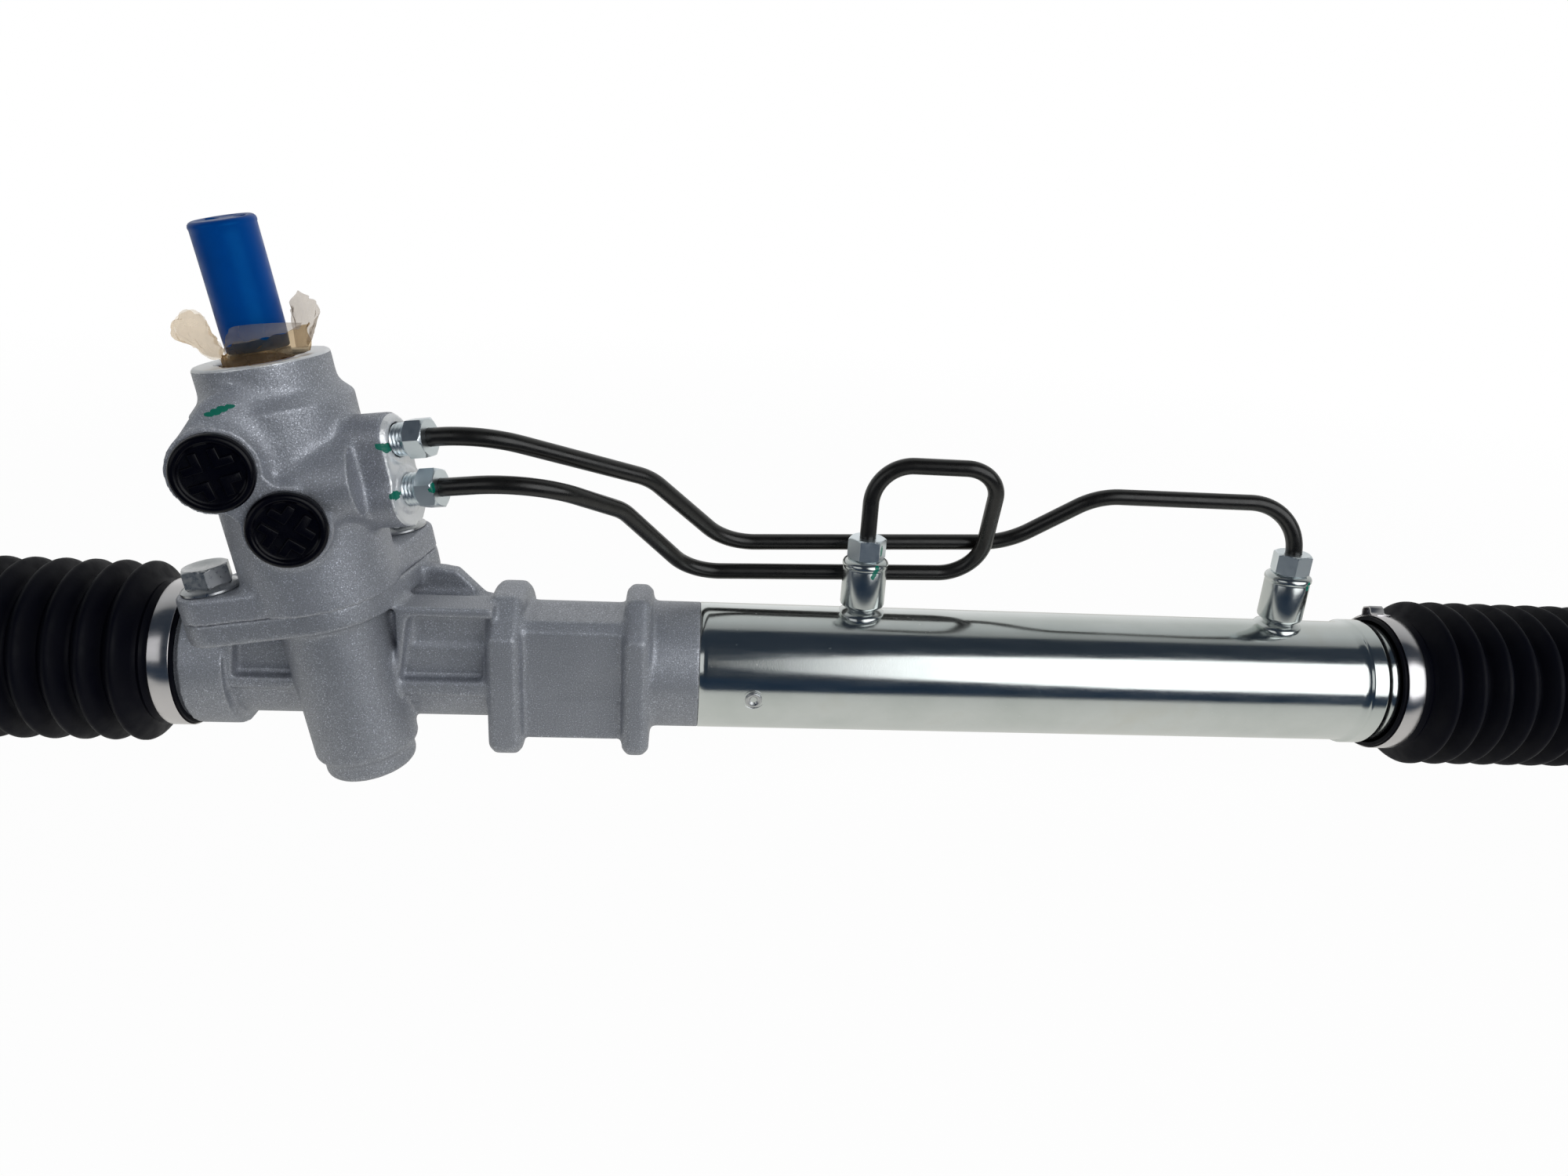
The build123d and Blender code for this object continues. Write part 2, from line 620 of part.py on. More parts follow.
def make_port_plug(frame, cross_turn):
    """Plastic stopper with a cross cut between four raised corner ribs."""
    stem = extrude(Circle(PLUG_STEM_RADIUS), -PLUG_STEM_LENGTH)
    head = turned_z(
        (0, 0),
        (PLUG_RADIUS, 0),
        (PLUG_RADIUS, PLUG_PROUD - 1.2),
        (PLUG_RADIUS - 1.2, PLUG_PROUD),
        (0, PLUG_PROUD),
    )
    rib = Pos(PLUG_CROSS_GAP, PLUG_CROSS_GAP) * (
        Rectangle(PLUG_RIB_LENGTH, PLUG_RIB_WIDTH, align=Align.MIN)
        + Rectangle(PLUG_RIB_WIDTH, PLUG_RIB_LENGTH, align=Align.MIN)
    )
    body = stem + head
    for quarter in range(4):
        raised = Rot(0, 0, cross_turn + 90 * quarter) * rib
        body += Pos(0, 0, PLUG_PROUD) * extrude(raised, PLUG_RIB_HEIGHT)
    return PINION_FRAME * (frame * body)


def make_cylinder_tube():
    """Plated cylinder tube with its rolled end."""
    bulge = END_BULGE_X
    end = bulge + END_BULGE_LENGTH
    quarter = END_BULGE_LENGTH / 4
    top = TUBE_RADIUS + END_BULGE_HEIGHT
    tube = turned_x(
        (TUBE_X, TUBE_BORE),
        (TUBE_X, TUBE_RADIUS),
        (bulge, TUBE_RADIUS),
        (bulge + quarter, top),
        (end - quarter, top),
        (end, TUBE_RADIUS),
        (right_band_x(), TUBE_RADIUS),
        (right_band_x(), TUBE_RADIUS - BOOT_GROOVE_DEPTH),
        (right_band_x() + BAND_WIDTH, TUBE_RADIUS - BOOT_GROOVE_DEPTH),
        (right_band_x() + BAND_WIDTH, TUBE_RADIUS),
        (TUBE_END, TUBE_RADIUS),
        (TUBE_END, TUBE_BORE),
    )
    tube -= set_pin_hole()
    for x in PORT_XS:
        tube -= Pos(x, 0, 0) * disc_z(LINE_RADIUS, 0, TUBE_RADIUS + 1)
    return tube


def make_cylinder_port(x):
    """Turned port brazed on the tube: flared foot, neck, cone and barrel."""
    seat_depth = 2.0
    port = turned_z(
        (0, TUBE_RADIUS - 3),
        (PORT_FOOT_RADIUS, TUBE_RADIUS - 3),
        (PORT_FOOT_RADIUS, TUBE_RADIUS - 0.4),
        (PORT_NECK_RADIUS + 1, PORT_NECK_BASE_Z),
        (PORT_NECK_RADIUS, PORT_NECK_BASE_Z + 0.8),
        (PORT_NECK_RADIUS, PORT_SHOULDER_Z - 2.2),
        (PORT_RADIUS, PORT_SHOULDER_Z),
        (PORT_RADIUS, PORT_TOP_Z - PORT_TOP_CHAMFER),
        (PORT_RADIUS - PORT_TOP_CHAMFER, PORT_TOP_Z),
        (LINE_NUT_SHANK_RADIUS - 0.4, PORT_TOP_Z),
        (LINE_NUT_SHANK_RADIUS - 0.4, PORT_TOP_Z - seat_depth),
        (0, PORT_TOP_Z - seat_depth),
    )
    port -= disc_z(LINE_RADIUS - 1, TUBE_BORE, PORT_TOP_Z)
    port = Pos(x, 0, 0) * port
    return port - disc_x(TUBE_RADIUS, x - 2 * PORT_RADIUS, x + 2 * PORT_RADIUS)


def make_cylinder_nut(x):
    """Tube nut on top of a cylinder port."""
    nut = hexagon(CYLINDER_NUT_WIDTH, CYLINDER_NUT_LENGTH)
    nut += disc_z(LINE_NUT_SHANK_RADIUS - 0.5, -1.8, 0)
    nut -= disc_z(LINE_RADIUS + SLIDING_CLEARANCE, -3, CYLINDER_NUT_LENGTH + 1)
    return Pos(x, 0, PORT_TOP_Z) * nut


def make_valve_nut(frame):
    """Tube nut in a boss of the valve housing, its shank ring just showing."""
    seat = LINE_PORT_RING_HEIGHT + LINE_NUT_SHANK_LENGTH
    shank = disc_z(LINE_NUT_SHANK_RADIUS, -LINE_PORT_DEPTH * 0.6, seat)
    nut = shank + Pos(0, 0, seat) * hexagon(LINE_NUT_WIDTH, LINE_NUT_LENGTH)
    nut -= disc_z(LINE_RADIUS + SLIDING_CLEARANCE, -LINE_PORT_REACH, LINE_PORT_REACH)
    return PINION_FRAME * (frame * nut)


def line_start(index, reach):
    """Point on the axis of one valve port, in the rack's frame."""
    local = direction_frame(-PORT_TURN, LINE_PORT_HEIGHTS[index], reach).origin
    return PINION_FRAME.from_local_coords(local)


LINE_NUT_TOP = LINE_PORT_REACH + LINE_PORT_RING_HEIGHT + LINE_NUT_SHANK_LENGTH + LINE_NUT_LENGTH

# Bend points of the two lines between their nuts, chosen by hand
LONG_LINE_BENDS = [(24, -6, 73), (52, 15, 44), (160, 15, 48), (190, 6, 70)]
LONG_LINE_RADII = [30, 26, 22, 30, 26, 20]
LOOPED_LINE_BENDS = [(15, -13, 63), (39, 12, 33), (148, 12, 36), (151, -5, 81)]
LOOPED_LINE_RADII = [30, 22, 20, 16, 12, 15]
LOOP_TOP_Z = 80.0
LONG_LINE_TOP_Z = 71.5


def make_line(index, first_reach, bends, radii, port_x, top_z):
    """Bent steel line from a valve port to a cylinder port."""
    start = line_start(index, LINE_NUT_TOP - LINE_NUT_LENGTH - LINE_BITE)
    first = line_start(index, first_reach)
    last = Vector(port_x, 0, top_z)
    foot = Vector(port_x, 0, PORT_TOP_Z - LINE_BITE + 0.5)
    path = FilletPolyline(start, first, *[Vector(*p) for p in bends], last, foot, radius=radii)
    section = Plane(origin=start, z_dir=first - start) * Circle(LINE_RADIUS)
    return sweep(section, path=path)


def rack_tooth_gap():
    """Straight-sided space between two rack teeth, wider towards the pinion."""
    slope = math.tan(math.radians(PRESSURE_ANGLE))
    half = TOOTH_PITCH / 4 + TOOTH_PLAY / 2
    root = half - RACK_DEDENDUM * slope
    tip = half + (TOOTH_MODULE + 1) * slope
    outline = Polyline(
        (-root, -PITCH_PLANE + RACK_DEDENDUM),
        (root, -PITCH_PLANE + RACK_DEDENDUM),
        (tip, -PITCH_PLANE - TOOTH_MODULE - 1),
        (-tip, -PITCH_PLANE - TOOTH_MODULE - 1),
        close=True,
    )
    return Pos(0, 0, -RACK_RADIUS) * extrude(make_face(outline), 2 * RACK_RADIUS)


def make_rack_bar():
    """Rack bar: ground round bar, toothed flat in front of the pinion, threaded ends."""
    bar = disc_x(RACK_RADIUS, RACK_LEFT, RACK_RIGHT)
    reach = STROKE + TOOTH_MARGIN
    gaps = math.ceil(reach / TOOTH_PITCH)
    half = (gaps + 0.5) * TOOTH_PITCH
    wide = (-RACK_RADIUS, RACK_RADIUS)
    bar -= block((PINION_X - half, PINION_X + half), (-2 * RACK_RADIUS, -RACK_FLAT), wide)
    cutters = []
    for index in range(-gaps, gaps + 1):
        cutters.append(Pos(PINION_X + index * TOOTH_PITCH, 0, 0) * rack_tooth_gap())
    bar -= cutters
    bar = chamfer(bar.edges().filter_by(GeomType.CIRCLE).group_by(Axis.X)[0], 1.0)
    bar = chamfer(bar.edges().filter_by(GeomType.CIRCLE).group_by(Axis.X)[-1], 1.0)
    hole = SOCKET_STUD_RADIUS
    bar -= disc_x(hole, RACK_LEFT - 1, RACK_LEFT + SOCKET_STUD_LENGTH + 2)
    bar -= disc_x(hole, RACK_RIGHT - SOCKET_STUD_LENGTH - 2, RACK_RIGHT + 1)
    return bar


def make_piston():
    radius = TUBE_BORE - PISTON_GAP
    half = PISTON_WIDTH / 2
    piston = ring_x(radius, RACK_RADIUS, PISTON_X - half, PISTON_X + half)
    groove = PISTON_RING_WIDTH / 2
    return piston - ring_x(radius + 1, radius - PISTON_RING_DEPTH, PISTON_X - groove, PISTON_X + groove)


def make_piston_ring():
    groove = PISTON_RING_WIDTH / 2 - SLIDING_CLEARANCE
    inner = TUBE_BORE - PISTON_GAP - PISTON_RING_DEPTH
    return ring_x(TUBE_BORE - SLIDING_CLEARANCE, inner, PISTON_X - groove, PISTON_X + groove)


def involute_angle(radius, base):
    """Polar angle gained along an involute at a radius."""
    pressure = math.acos(min(1.0, base / radius))
    return math.tan(pressure) - pressure


def polar(radius, angle):
    return (radius * math.cos(angle), radius * math.sin(angle))


def pinion_section():
    """Section of the pinion across its axis, one tooth pointing at the rack."""
    lean = math.radians(PINION_LEAN)
    pressure = math.atan(math.tan(math.radians(PRESSURE_ANGLE)) / math.cos(lean))
    base = PITCH_RADIUS * math.cos(pressure)
    root = PITCH_RADIUS - PINION_ROOT_GAP
    width = math.pi * TOOTH_MODULE / math.cos(lean) / 2
    width += 2 * PROFILE_SHIFT * TOOTH_MODULE * math.tan(pressure) - TOOTH_PLAY
    half = width / 2 / PITCH_RADIUS + math.tan(pressure) - pressure
    steps = 4
    radii = [base + (PINION_TIP_RADIUS - base) * k / steps for k in range(steps + 1)]
    pitch = 2 * math.pi / PINION_TEETH
    edges = []
    for tooth in range(PINION_TEETH):
        centre = math.pi / 2 + tooth * pitch
        rise = [polar(r, centre - half + involute_angle(r, base)) for r in radii]
        fall = [polar(r, centre + half - involute_angle(r, base)) for r in reversed(radii)]
        edges.append(Line(polar(root, centre - half), rise[0]))
        edges.append(Spline(*rise))
        edges.append(ThreePointArc(rise[-1], polar(PINION_TIP_RADIUS, centre), fall[0]))
        edges.append(Spline(*fall))
        edges.append(Line(fall[-1], polar(root, centre + half)))
        valley = [centre + half, centre + pitch / 2, centre + pitch - half]
        edges.append(ThreePointArc(*[polar(root, angle) for angle in valley]))
    return make_face(edges)


def pinion_teeth():
    """Helical teeth whose lean cancels the lean of the pinion axis."""
    section = pinion_section()
    sections = []
    count = 7
    for index in range(count):
        height = PINION_TOOTH_LENGTH * (index / (count - 1) - 0.5)
        turn = -math.degrees(height * math.tan(math.radians(PINION_LEAN)) / PITCH_RADIUS)
        sections.append(Pos(0, 0, height) * Rot(0, 0, turn) * section)
    return loft(sections)


def make_pinion_shaft():
    half = PINION_TOOTH_LENGTH / 2
    root = PITCH_RADIUS - PINION_ROOT_GAP
    shaft = pinion_teeth()
    shaft += disc_z(PINION_LOWER_JOURNAL_RADIUS - SLIDING_CLEARANCE, BEARING_FLOOR + 1, -half - 2)
    shaft += disc_z(root, -half - 2, -half)
    shaft += disc_z(root, half, half + 2)
    journal = PINION_UPPER_JOURNAL_RADIUS - SLIDING_CLEARANCE
    shaft += disc_z(journal, half + 2, SLEEVE_START - 3)
    shaft += disc_z(SPOOL_RADIUS + 2, SLEEVE_START - 3, SLEEVE_START)
    shaft -= disc_z(TORSION_BAR_RADIUS, half + 8, SLEEVE_START + 1)
    return PINION_FRAME * shaft


def make_torsion_bar():
    """Thin spring bar pinned in the pinion below and in the input shaft above."""
    half = PINION_TOOTH_LENGTH / 2
    bottom = half + 8
    top = INPUT_TOP - 4
    grip = 12.0
    slim = TORSION_BAR_RADIUS * 0.7
    thick = TORSION_BAR_RADIUS
    bar = turned_z(
        (0, bottom),
        (thick, bottom),
        (thick, bottom + grip),
        (slim, bottom + grip + 3),
        (slim, top - grip - 3),
        (thick - SLIDING_CLEARANCE, top - grip),
        (thick - SLIDING_CLEARANCE, top),
        (0, top),
    )
    return PINION_FRAME * bar


def make_pinion_lower_bearing():
    top = BEARING_FLOOR + LOWER_BEARING_WIDTH
    ring = ring_z(PINION_BORE_RADIUS, PINION_LOWER_JOURNAL_RADIUS, BEARING_FLOOR, top)
    return PINION_FRAME * ring


def make_pinion_upper_bearing():
    """Ball bearing in the foot of the valve housing, its shields set back."""
    start = JOINT_HEIGHT
    end = start + UPPER_BEARING_WIDTH
    ring = ring_z(UPPER_BEARING_RADIUS, PINION_UPPER_JOURNAL_RADIUS, start, end)
    inner = PINION_UPPER_JOURNAL_RADIUS + 2.5
    outer = UPPER_BEARING_RADIUS - 2.5
    for low in (start - 1, end - 0.8):
        ring -= ring_z(outer, inner, low, low + 1.8)
    return PINION_FRAME * ring


def seal_ring_places():
    """Lower edges of the sleeve's seal rings."""
    step = (SLEEVE_LENGTH - 6 - SEAL_RING_WIDTH) / (SEAL_RING_COUNT - 1)
    return [SLEEVE_START + 3 + step * k for k in range(SEAL_RING_COUNT)]


def make_valve_sleeve():
    """Valve sleeve with ring grooves, oil grooves and their cross holes."""
    sleeve = ring_z(SLEEVE_RADIUS, SPOOL_RADIUS + SLIDING_CLEARANCE, SLEEVE_START, SLEEVE_END)
    places = seal_ring_places()
    for low in places:
        sleeve -= ring_z(SLEEVE_RADIUS + 1, SLEEVE_RADIUS - 1.5, low, low + SEAL_RING_WIDTH)
    holes = []
    for low, high in zip(places, places[1:]):
        start = low + SEAL_RING_WIDTH + 2
        sleeve -= ring_z(SLEEVE_RADIUS + 1, SLEEVE_RADIUS - 2, start, high - 2)
        middle = (start + high - 2) / 2
        for k in range(OIL_HOLE_COUNT // 2):
            drill = Rot(0, 0, 360 / OIL_HOLE_COUNT * k) * Rot(0, 90, 0)
            holes.append(Pos(0, 0, middle) * drill * Cylinder(OIL_HOLE_RADIUS, 3 * SLEEVE_RADIUS))
    return PINION_FRAME * (sleeve - holes)


def make_sleeve_seal_rings():
    rings = []
    for low in seal_ring_places():
        ring = ring_z(
            VALVE_BORE_RADIUS - SLIDING_CLEARANCE,
            SLEEVE_RADIUS - 1.5,
            low + SLIDING_CLEARANCE,
            low + SEAL_RING_WIDTH - SLIDING_CLEARANCE,
        )
        rings.append(PINION_FRAME * ring)
    return Compound(children=rings)


def spline_section():
    """Serrated section of the input shaft's upper end."""
    points = []
    inner = SPLINE_RADIUS - SPLINE_TOOTH_DEPTH
    for k in range(SPLINE_TEETH):
        angle = 2 * math.pi * k / SPLINE_TEETH
        points.append(polar(SPLINE_RADIUS, angle))
        points.append(polar(inner, angle + math.pi / SPLINE_TEETH))
    return make_face(Polyline(*points, close=True))


def make_input_shaft():
    """Input shaft: valve spool below, seal journal, serrated end with its clamp groove."""
    shaft = disc_z(SPOOL_RADIUS, SLEEVE_START + 1, SLEEVE_END)
    shaft += disc_z(PINION_UPPER_JOURNAL_RADIUS - SLIDING_CLEARANCE, SLEEVE_END, TOP_SEAL_START)
    shaft += disc_z(INPUT_JOURNAL_RADIUS - SLIDING_CLEARANCE, TOP_SEAL_START, SHAFT_CAP_BASE - 0.5)
    spline_start = INPUT_TOP - SPLINE_LENGTH
    shaft += disc_z(SPLINE_RADIUS - SPLINE_TOOTH_DEPTH, SHAFT_CAP_BASE - 0.5, spline_start)
    shaft += Pos(0, 0, spline_start) * extrude(spline_section(), SPLINE_LENGTH)
    groove_z = spline_start + SPLINE_LENGTH / 2
    ring = Torus(SPLINE_RADIUS + CLAMP_GROOVE_RADIUS / 2, CLAMP_GROOVE_RADIUS)
    shaft -= Pos(0, 0, groove_z) * ring
    shaft -= disc_z(TORSION_BAR_RADIUS + TORSION_BAR_FIT, SLEEVE_START, INPUT_TOP - 16)
    shaft -= disc_z(TORSION_BAR_RADIUS, INPUT_TOP - 17, INPUT_TOP + 1)
    return PINION_FRAME * shaft


def make_valve_top_bearing():
    ring = ring_z(
        SEAL_BORE_RADIUS,
        PINION_UPPER_JOURNAL_RADIUS,
        TOP_BEARING_START,
        TOP_BEARING_START + TOP_BEARING_WIDTH - 0.2,
    )
    return PINION_FRAME * ring


def make_valve_top_seal():
    """Lip seal round the input shaft, dished on top."""
    seal = ring_z(SEAL_BORE_RADIUS, INPUT_JOURNAL_RADIUS, TOP_SEAL_START, SNAP_RING_START)
    rim = SEAL_BORE_RADIUS - 1.5
    dish = ring_z(rim, INPUT_JOURNAL_RADIUS + 1, SNAP_RING_START - 2.5, SNAP_RING_START + 1)
    return PINION_FRAME * (seal - dish)


def make_valve_snap_ring():
    """Open spring ring that keeps the seal in."""
    top = SNAP_RING_START + SNAP_RING_WIDTH
    ring = ring_z(SEAL_BORE_RADIUS, SEAL_BORE_RADIUS - 2.4, SNAP_RING_START, top)
    gap = block((0, SEAL_BORE_RADIUS + 1), (-2.5, 2.5), (SNAP_RING_START - 1, VALVE_TOP + 1))
    return PINION_FRAME * (ring - gap)


def make_shaft_cap():
    """Soft plug-on cap over the serrated end."""
    inner = SHAFT_CAP_RADIUS - SHAFT_CAP_WALL
    top = INPUT_TOP + 2.5
    round_edge = 1.6
    cap = turned_z(
        (0, INPUT_TOP + 0.3),
        (inner, INPUT_TOP + 0.3),
        (inner, SHAFT_CAP_BASE),
        (SHAFT_CAP_RADIUS, SHAFT_CAP_BASE),
        (SHAFT_CAP_RADIUS, top - round_edge),
        (SHAFT_CAP_RADIUS - round_edge, top),
        (0, top),
    )
    return PINION_FRAME * cap


def make_film_wrap():
    """Flared skirt of protective film round the foot of the cap."""
    low = VALVE_TOP + 0.3
    high = low + FILM_HEIGHT
    outer = FILM_INNER_RADIUS + FILM_FLARE
    film = turned_z(
        (FILM_INNER_RADIUS, low),
        (FILM_INNER_RADIUS + FILM_FLARE / 2, low),
        (outer + FILM_THICKNESS, high),
        (outer, high),
        (FILM_INNER_RADIUS + FILM_FLARE / 2 - FILM_THICKNESS, low + FILM_THICKNESS),
        (FILM_INNER_RADIUS, low + FILM_THICKNESS),
    )
    return PINION_FRAME * film


def guide_plane(y):
    return Plane(origin=(PINION_X, y, 0), x_dir=(1, 0, 0), z_dir=(0, 1, 0))


def make_rack_guide():
    """Guide that presses the round back of the rack towards the pinion."""
    guide = extrude(guide_plane(GUIDE_START) * Circle(GUIDE_RADIUS - GUIDE_FIT), GUIDE_LENGTH)
    long = 2 * GUIDE_RADIUS
    guide -= disc_x(RACK_RADIUS + GUIDE_FIT, PINION_X - long, PINION_X + long)
    recess = guide_plane(GUIDE_START + GUIDE_LENGTH - 4) * Circle(GUIDE_RADIUS * 0.5)
    return guide - extrude(recess, 5)


def make_guide_disc_springs():
    """Two dished spring washers, back to back, between the guide and its plug."""
    back = GUIDE_START + GUIDE_LENGTH
    outer = GUIDE_RADIUS - 1.5
    inner = GUIDE_RADIUS * 0.5
    height = DISC_SPRING_DISH + DISC_SPRING_THICKNESS
    washer = turned_z(
        (inner, DISC_SPRING_DISH),
        (outer, 0),
        (outer, DISC_SPRING_THICKNESS),
        (inner, height),
    )
    first = guide_plane(back) * (Pos(0, 0, height) * Rot(180, 0, 0) * washer)
    second = guide_plane(back) * (Pos(0, 0, height) * washer)
    return Compound(children=[first, second])


GUIDE_PLUG_START = GUIDE_START + GUIDE_LENGTH + 2 * (DISC_SPRING_DISH + DISC_SPRING_THICKNESS)


def make_guide_plug():
    """Threaded plug with a hexagon socket that sets the guide."""
    plug = extrude(guide_plane(GUIDE_PLUG_START) * Circle(GUIDE_RADIUS - GUIDE_FIT), GUIDE_PLUG_LENGTH)
    top = GUIDE_PLUG_START + GUIDE_PLUG_LENGTH
    socket = guide_plane(top) * RegularPolygon(GUIDE_PLUG_SOCKET / 2, 6, major_radius=False)
    plug = chamfer(plug.faces().sort_by(Axis.Y)[-1].edges(), 1.0)
    return plug - extrude(socket, -GUIDE_PLUG_SOCKET_DEPTH)


def make_guide_lock_nut():
    nut = guide_plane(GUIDE_BOSS_REACH) * hexagon(LOCK_NUT_WIDTH, LOCK_NUT_HEIGHT)
    return nut - extrude(guide_plane(GUIDE_BOSS_REACH - 1) * Circle(GUIDE_RADIUS), LOCK_NUT_HEIGHT + 2)


def make_inner_rack_seal():
    """Lip seal in the end of the casting's spigot."""
    start = SPIGOT_END - RACK_SEAL_WIDTH
    seal = ring_x(RACK_SEAL_RADIUS, RACK_RADIUS + SLIDING_CLEARANCE, start, SPIGOT_END - 0.5)
    dish = ring_x(RACK_SEAL_RADIUS - 1.2, RACK_RADIUS + 1.2, SPIGOT_END - 3, SPIGOT_END)
    return seal - dish


def make_rack_end_bushing():
    """Plain bush that carries the rack in the far end of the tube."""
    start = TUBE_END - END_BUSHING_INSET
    inner = RACK_RADIUS + SLIDING_CLEARANCE
    return ring_x(TUBE_BORE - SLIDING_CLEARANCE, inner, start, start + END_BUSHING_LENGTH)


def make_rack_end_seal():
    start = TUBE_END - END_BUSHING_INSET - END_SEAL_WIDTH
    inner = RACK_RADIUS + SLIDING_CLEARANCE
    seal = ring_x(TUBE_BORE - SLIDING_CLEARANCE, inner, start, start + END_SEAL_WIDTH)
    return seal - ring_x(TUBE_BORE - 2, RACK_RADIUS + 1.2, start - 1, start + 2.5)


def boot_profile():
    """Outer and inner corners of a boot as (distance from its cuff edge, radius)."""
    cuff = SPIGOT_RADIUS + BOOT_FIT
    outer = [(0, cuff + BOOT_WALL), (BOOT_CUFF_LENGTH, cuff + BOOT_WALL)]
    crest_half = BOOT_PITCH * 0.14
    x = BOOT_CUFF_LENGTH
    for fold in range(BOOT_FOLDS):
        middle = x + BOOT_PITCH / 2
        outer.append((middle - crest_half, BOOT_CREST_RADIUS))
        outer.append((middle + crest_half, BOOT_CREST_RADIUS))
        x += BOOT_PITCH
        outer.append((x, BOOT_ROOT_RADIUS))
    inner = []
    for fold in reversed(range(BOOT_FOLDS)):
        inner.append((x, BOOT_ROOT_RADIUS - BOOT_WALL))
        inner.append((x - BOOT_PITCH / 2, BOOT_CREST_RADIUS - BOOT_WALL))
        x -= BOOT_PITCH
    inner.append((BOOT_CUFF_LENGTH, cuff))
    inner.append((0, cuff))
    return outer, inner


BOOT_SMALL_RADIUS = ROD_RADIUS + BOOT_FIT
BOOT_BELLOWS = BOOT_CUFF_LENGTH + BOOT_FOLDS * BOOT_PITCH


def make_boot(cuff_x, outward):
    """Rubber boot: cuff on the housing, folds, and a tail that grips the tie rod."""
    outer, inner = boot_profile()
    tail = BOOT_BELLOWS + BOOT_TAIL_LENGTH
    end = tail + BOOT_SMALL_LENGTH
    small = BOOT_SMALL_RADIUS
    outer += [(tail, small + BOOT_WALL + 1), (tail, small + BOOT_WALL), (end, small + BOOT_WALL)]
    close = [(end, small), (tail - BOOT_WALL, small)]
    points = [(cuff_x + outward * x, radius) for x, radius in outer + close + inner]
    return turned_x(*points)


def make_boot_band(start, ear_turn):
    """Steel band round a boot cuff, with the folded ear that tightens it."""
    inner = SPIGOT_RADIUS + 2 * BOOT_FIT + BOOT_WALL
    band = ring_x(inner + BAND_THICKNESS, inner, start, start + BAND_WIDTH)
    reach = inner + BAND_THICKNESS / 2
    ear = block(
        (start + 1, start + BAND_WIDTH - 1),
        (-BAND_EAR, BAND_EAR),
        (reach, reach + BAND_EAR * 0.75),
    )
    return band + Rot(ear_turn, 0, 0) * ear


def make_boot_clip(cuff_x, outward):
    """Spring clip round the small end of a boot."""
    inner = BOOT_SMALL_RADIUS + BOOT_WALL
    middle = cuff_x + outward * (BOOT_BELLOWS + BOOT_TAIL_LENGTH + BOOT_SMALL_LENGTH / 2)
    clip = ring_x(inner + CLIP_THICKNESS, inner, middle - CLIP_WIDTH / 2, middle + CLIP_WIDTH / 2)
    ear = block(
        (middle - CLIP_WIDTH / 2, middle + CLIP_WIDTH / 2),
        (-CLIP_WIDTH, CLIP_WIDTH),
        (inner + CLIP_THICKNESS / 2, inner + 3 * CLIP_THICKNESS),
    )
    return clip + ear


LEFT_CUFF_X = left_band_x() + BAND_WIDTH + 1.0
RIGHT_CUFF_X = right_band_x() - 1.0


def make_ball_socket(ball_x, outward):
    """Socket screwed into the rack end, spun round the ball seat."""
    back = ball_x - outward * SOCKET_BACK
    front = ball_x + outward * SOCKET_FRONT
    lip = CAVITY_RADIUS * math.cos(math.radians(LIP_ANGLE))
    lip_radius = CAVITY_RADIUS * math.sin(math.radians(LIP_ANGLE))
    stud = back - outward * SOCKET_STUD_LENGTH
    body = turned_x(
        (stud, 0),
        (stud, SOCKET_STUD_RADIUS - SLIDING_CLEARANCE),
        (back, SOCKET_STUD_RADIUS - SLIDING_CLEARANCE),
        (back, SOCKET_RADIUS - 1),
        (back + outward, SOCKET_RADIUS),
        (front - outward * 4, SOCKET_RADIUS),
        (front, SOCKET_RADIUS - 1.8),
        (front, 0),
    )
    body -= Pos(ball_x, 0, 0) * Sphere(CAVITY_RADIUS)
    mouth = turned_x(
        (ball_x + outward * lip, 0),
        (ball_x + outward * lip, lip_radius),
        (front + outward, SOCKET_MOUTH_RADIUS),
        (front + outward, 0),
    )
    body -= mouth
    low = min(back, back + outward * SOCKET_FLAT_LENGTH)
    for side in (-1, 1):
        flat = side * SOCKET_FLAT_WIDTH / 2
        y_range = (min(flat, side * 20), max(flat, side * 20))
        body -= block((low, low + SOCKET_FLAT_LENGTH), y_range, (-20, 20))
    return body


def make_ball_seat(ball_x, outward):
    """Plastic cup between the ball and its socket."""
    outer = BALL_RADIUS + SEAT_WALL + BALL_FIT
    seat = Sphere(outer) - Sphere(BALL_RADIUS + BALL_FIT)
    seat -= block((SEAT_RIM, 2 * outer), (-outer, outer), (-outer, outer))
    turn = 0 if outward > 0 else 180
    return Pos(ball_x, 0, 0) * Rot(0, 0, turn) * seat


def make_lock_washer(ball_x, outward):
    """Tab washer between the rack end and the socket."""
    stop = ball_x - outward * SOCKET_BACK
    low = min(stop, stop - outward * LOCK_WASHER_THICKNESS)
    return ring_x(LOCK_WASHER_RADIUS, SOCKET_STUD_RADIUS + 0.2, low, low + LOCK_WASHER_THICKNESS)


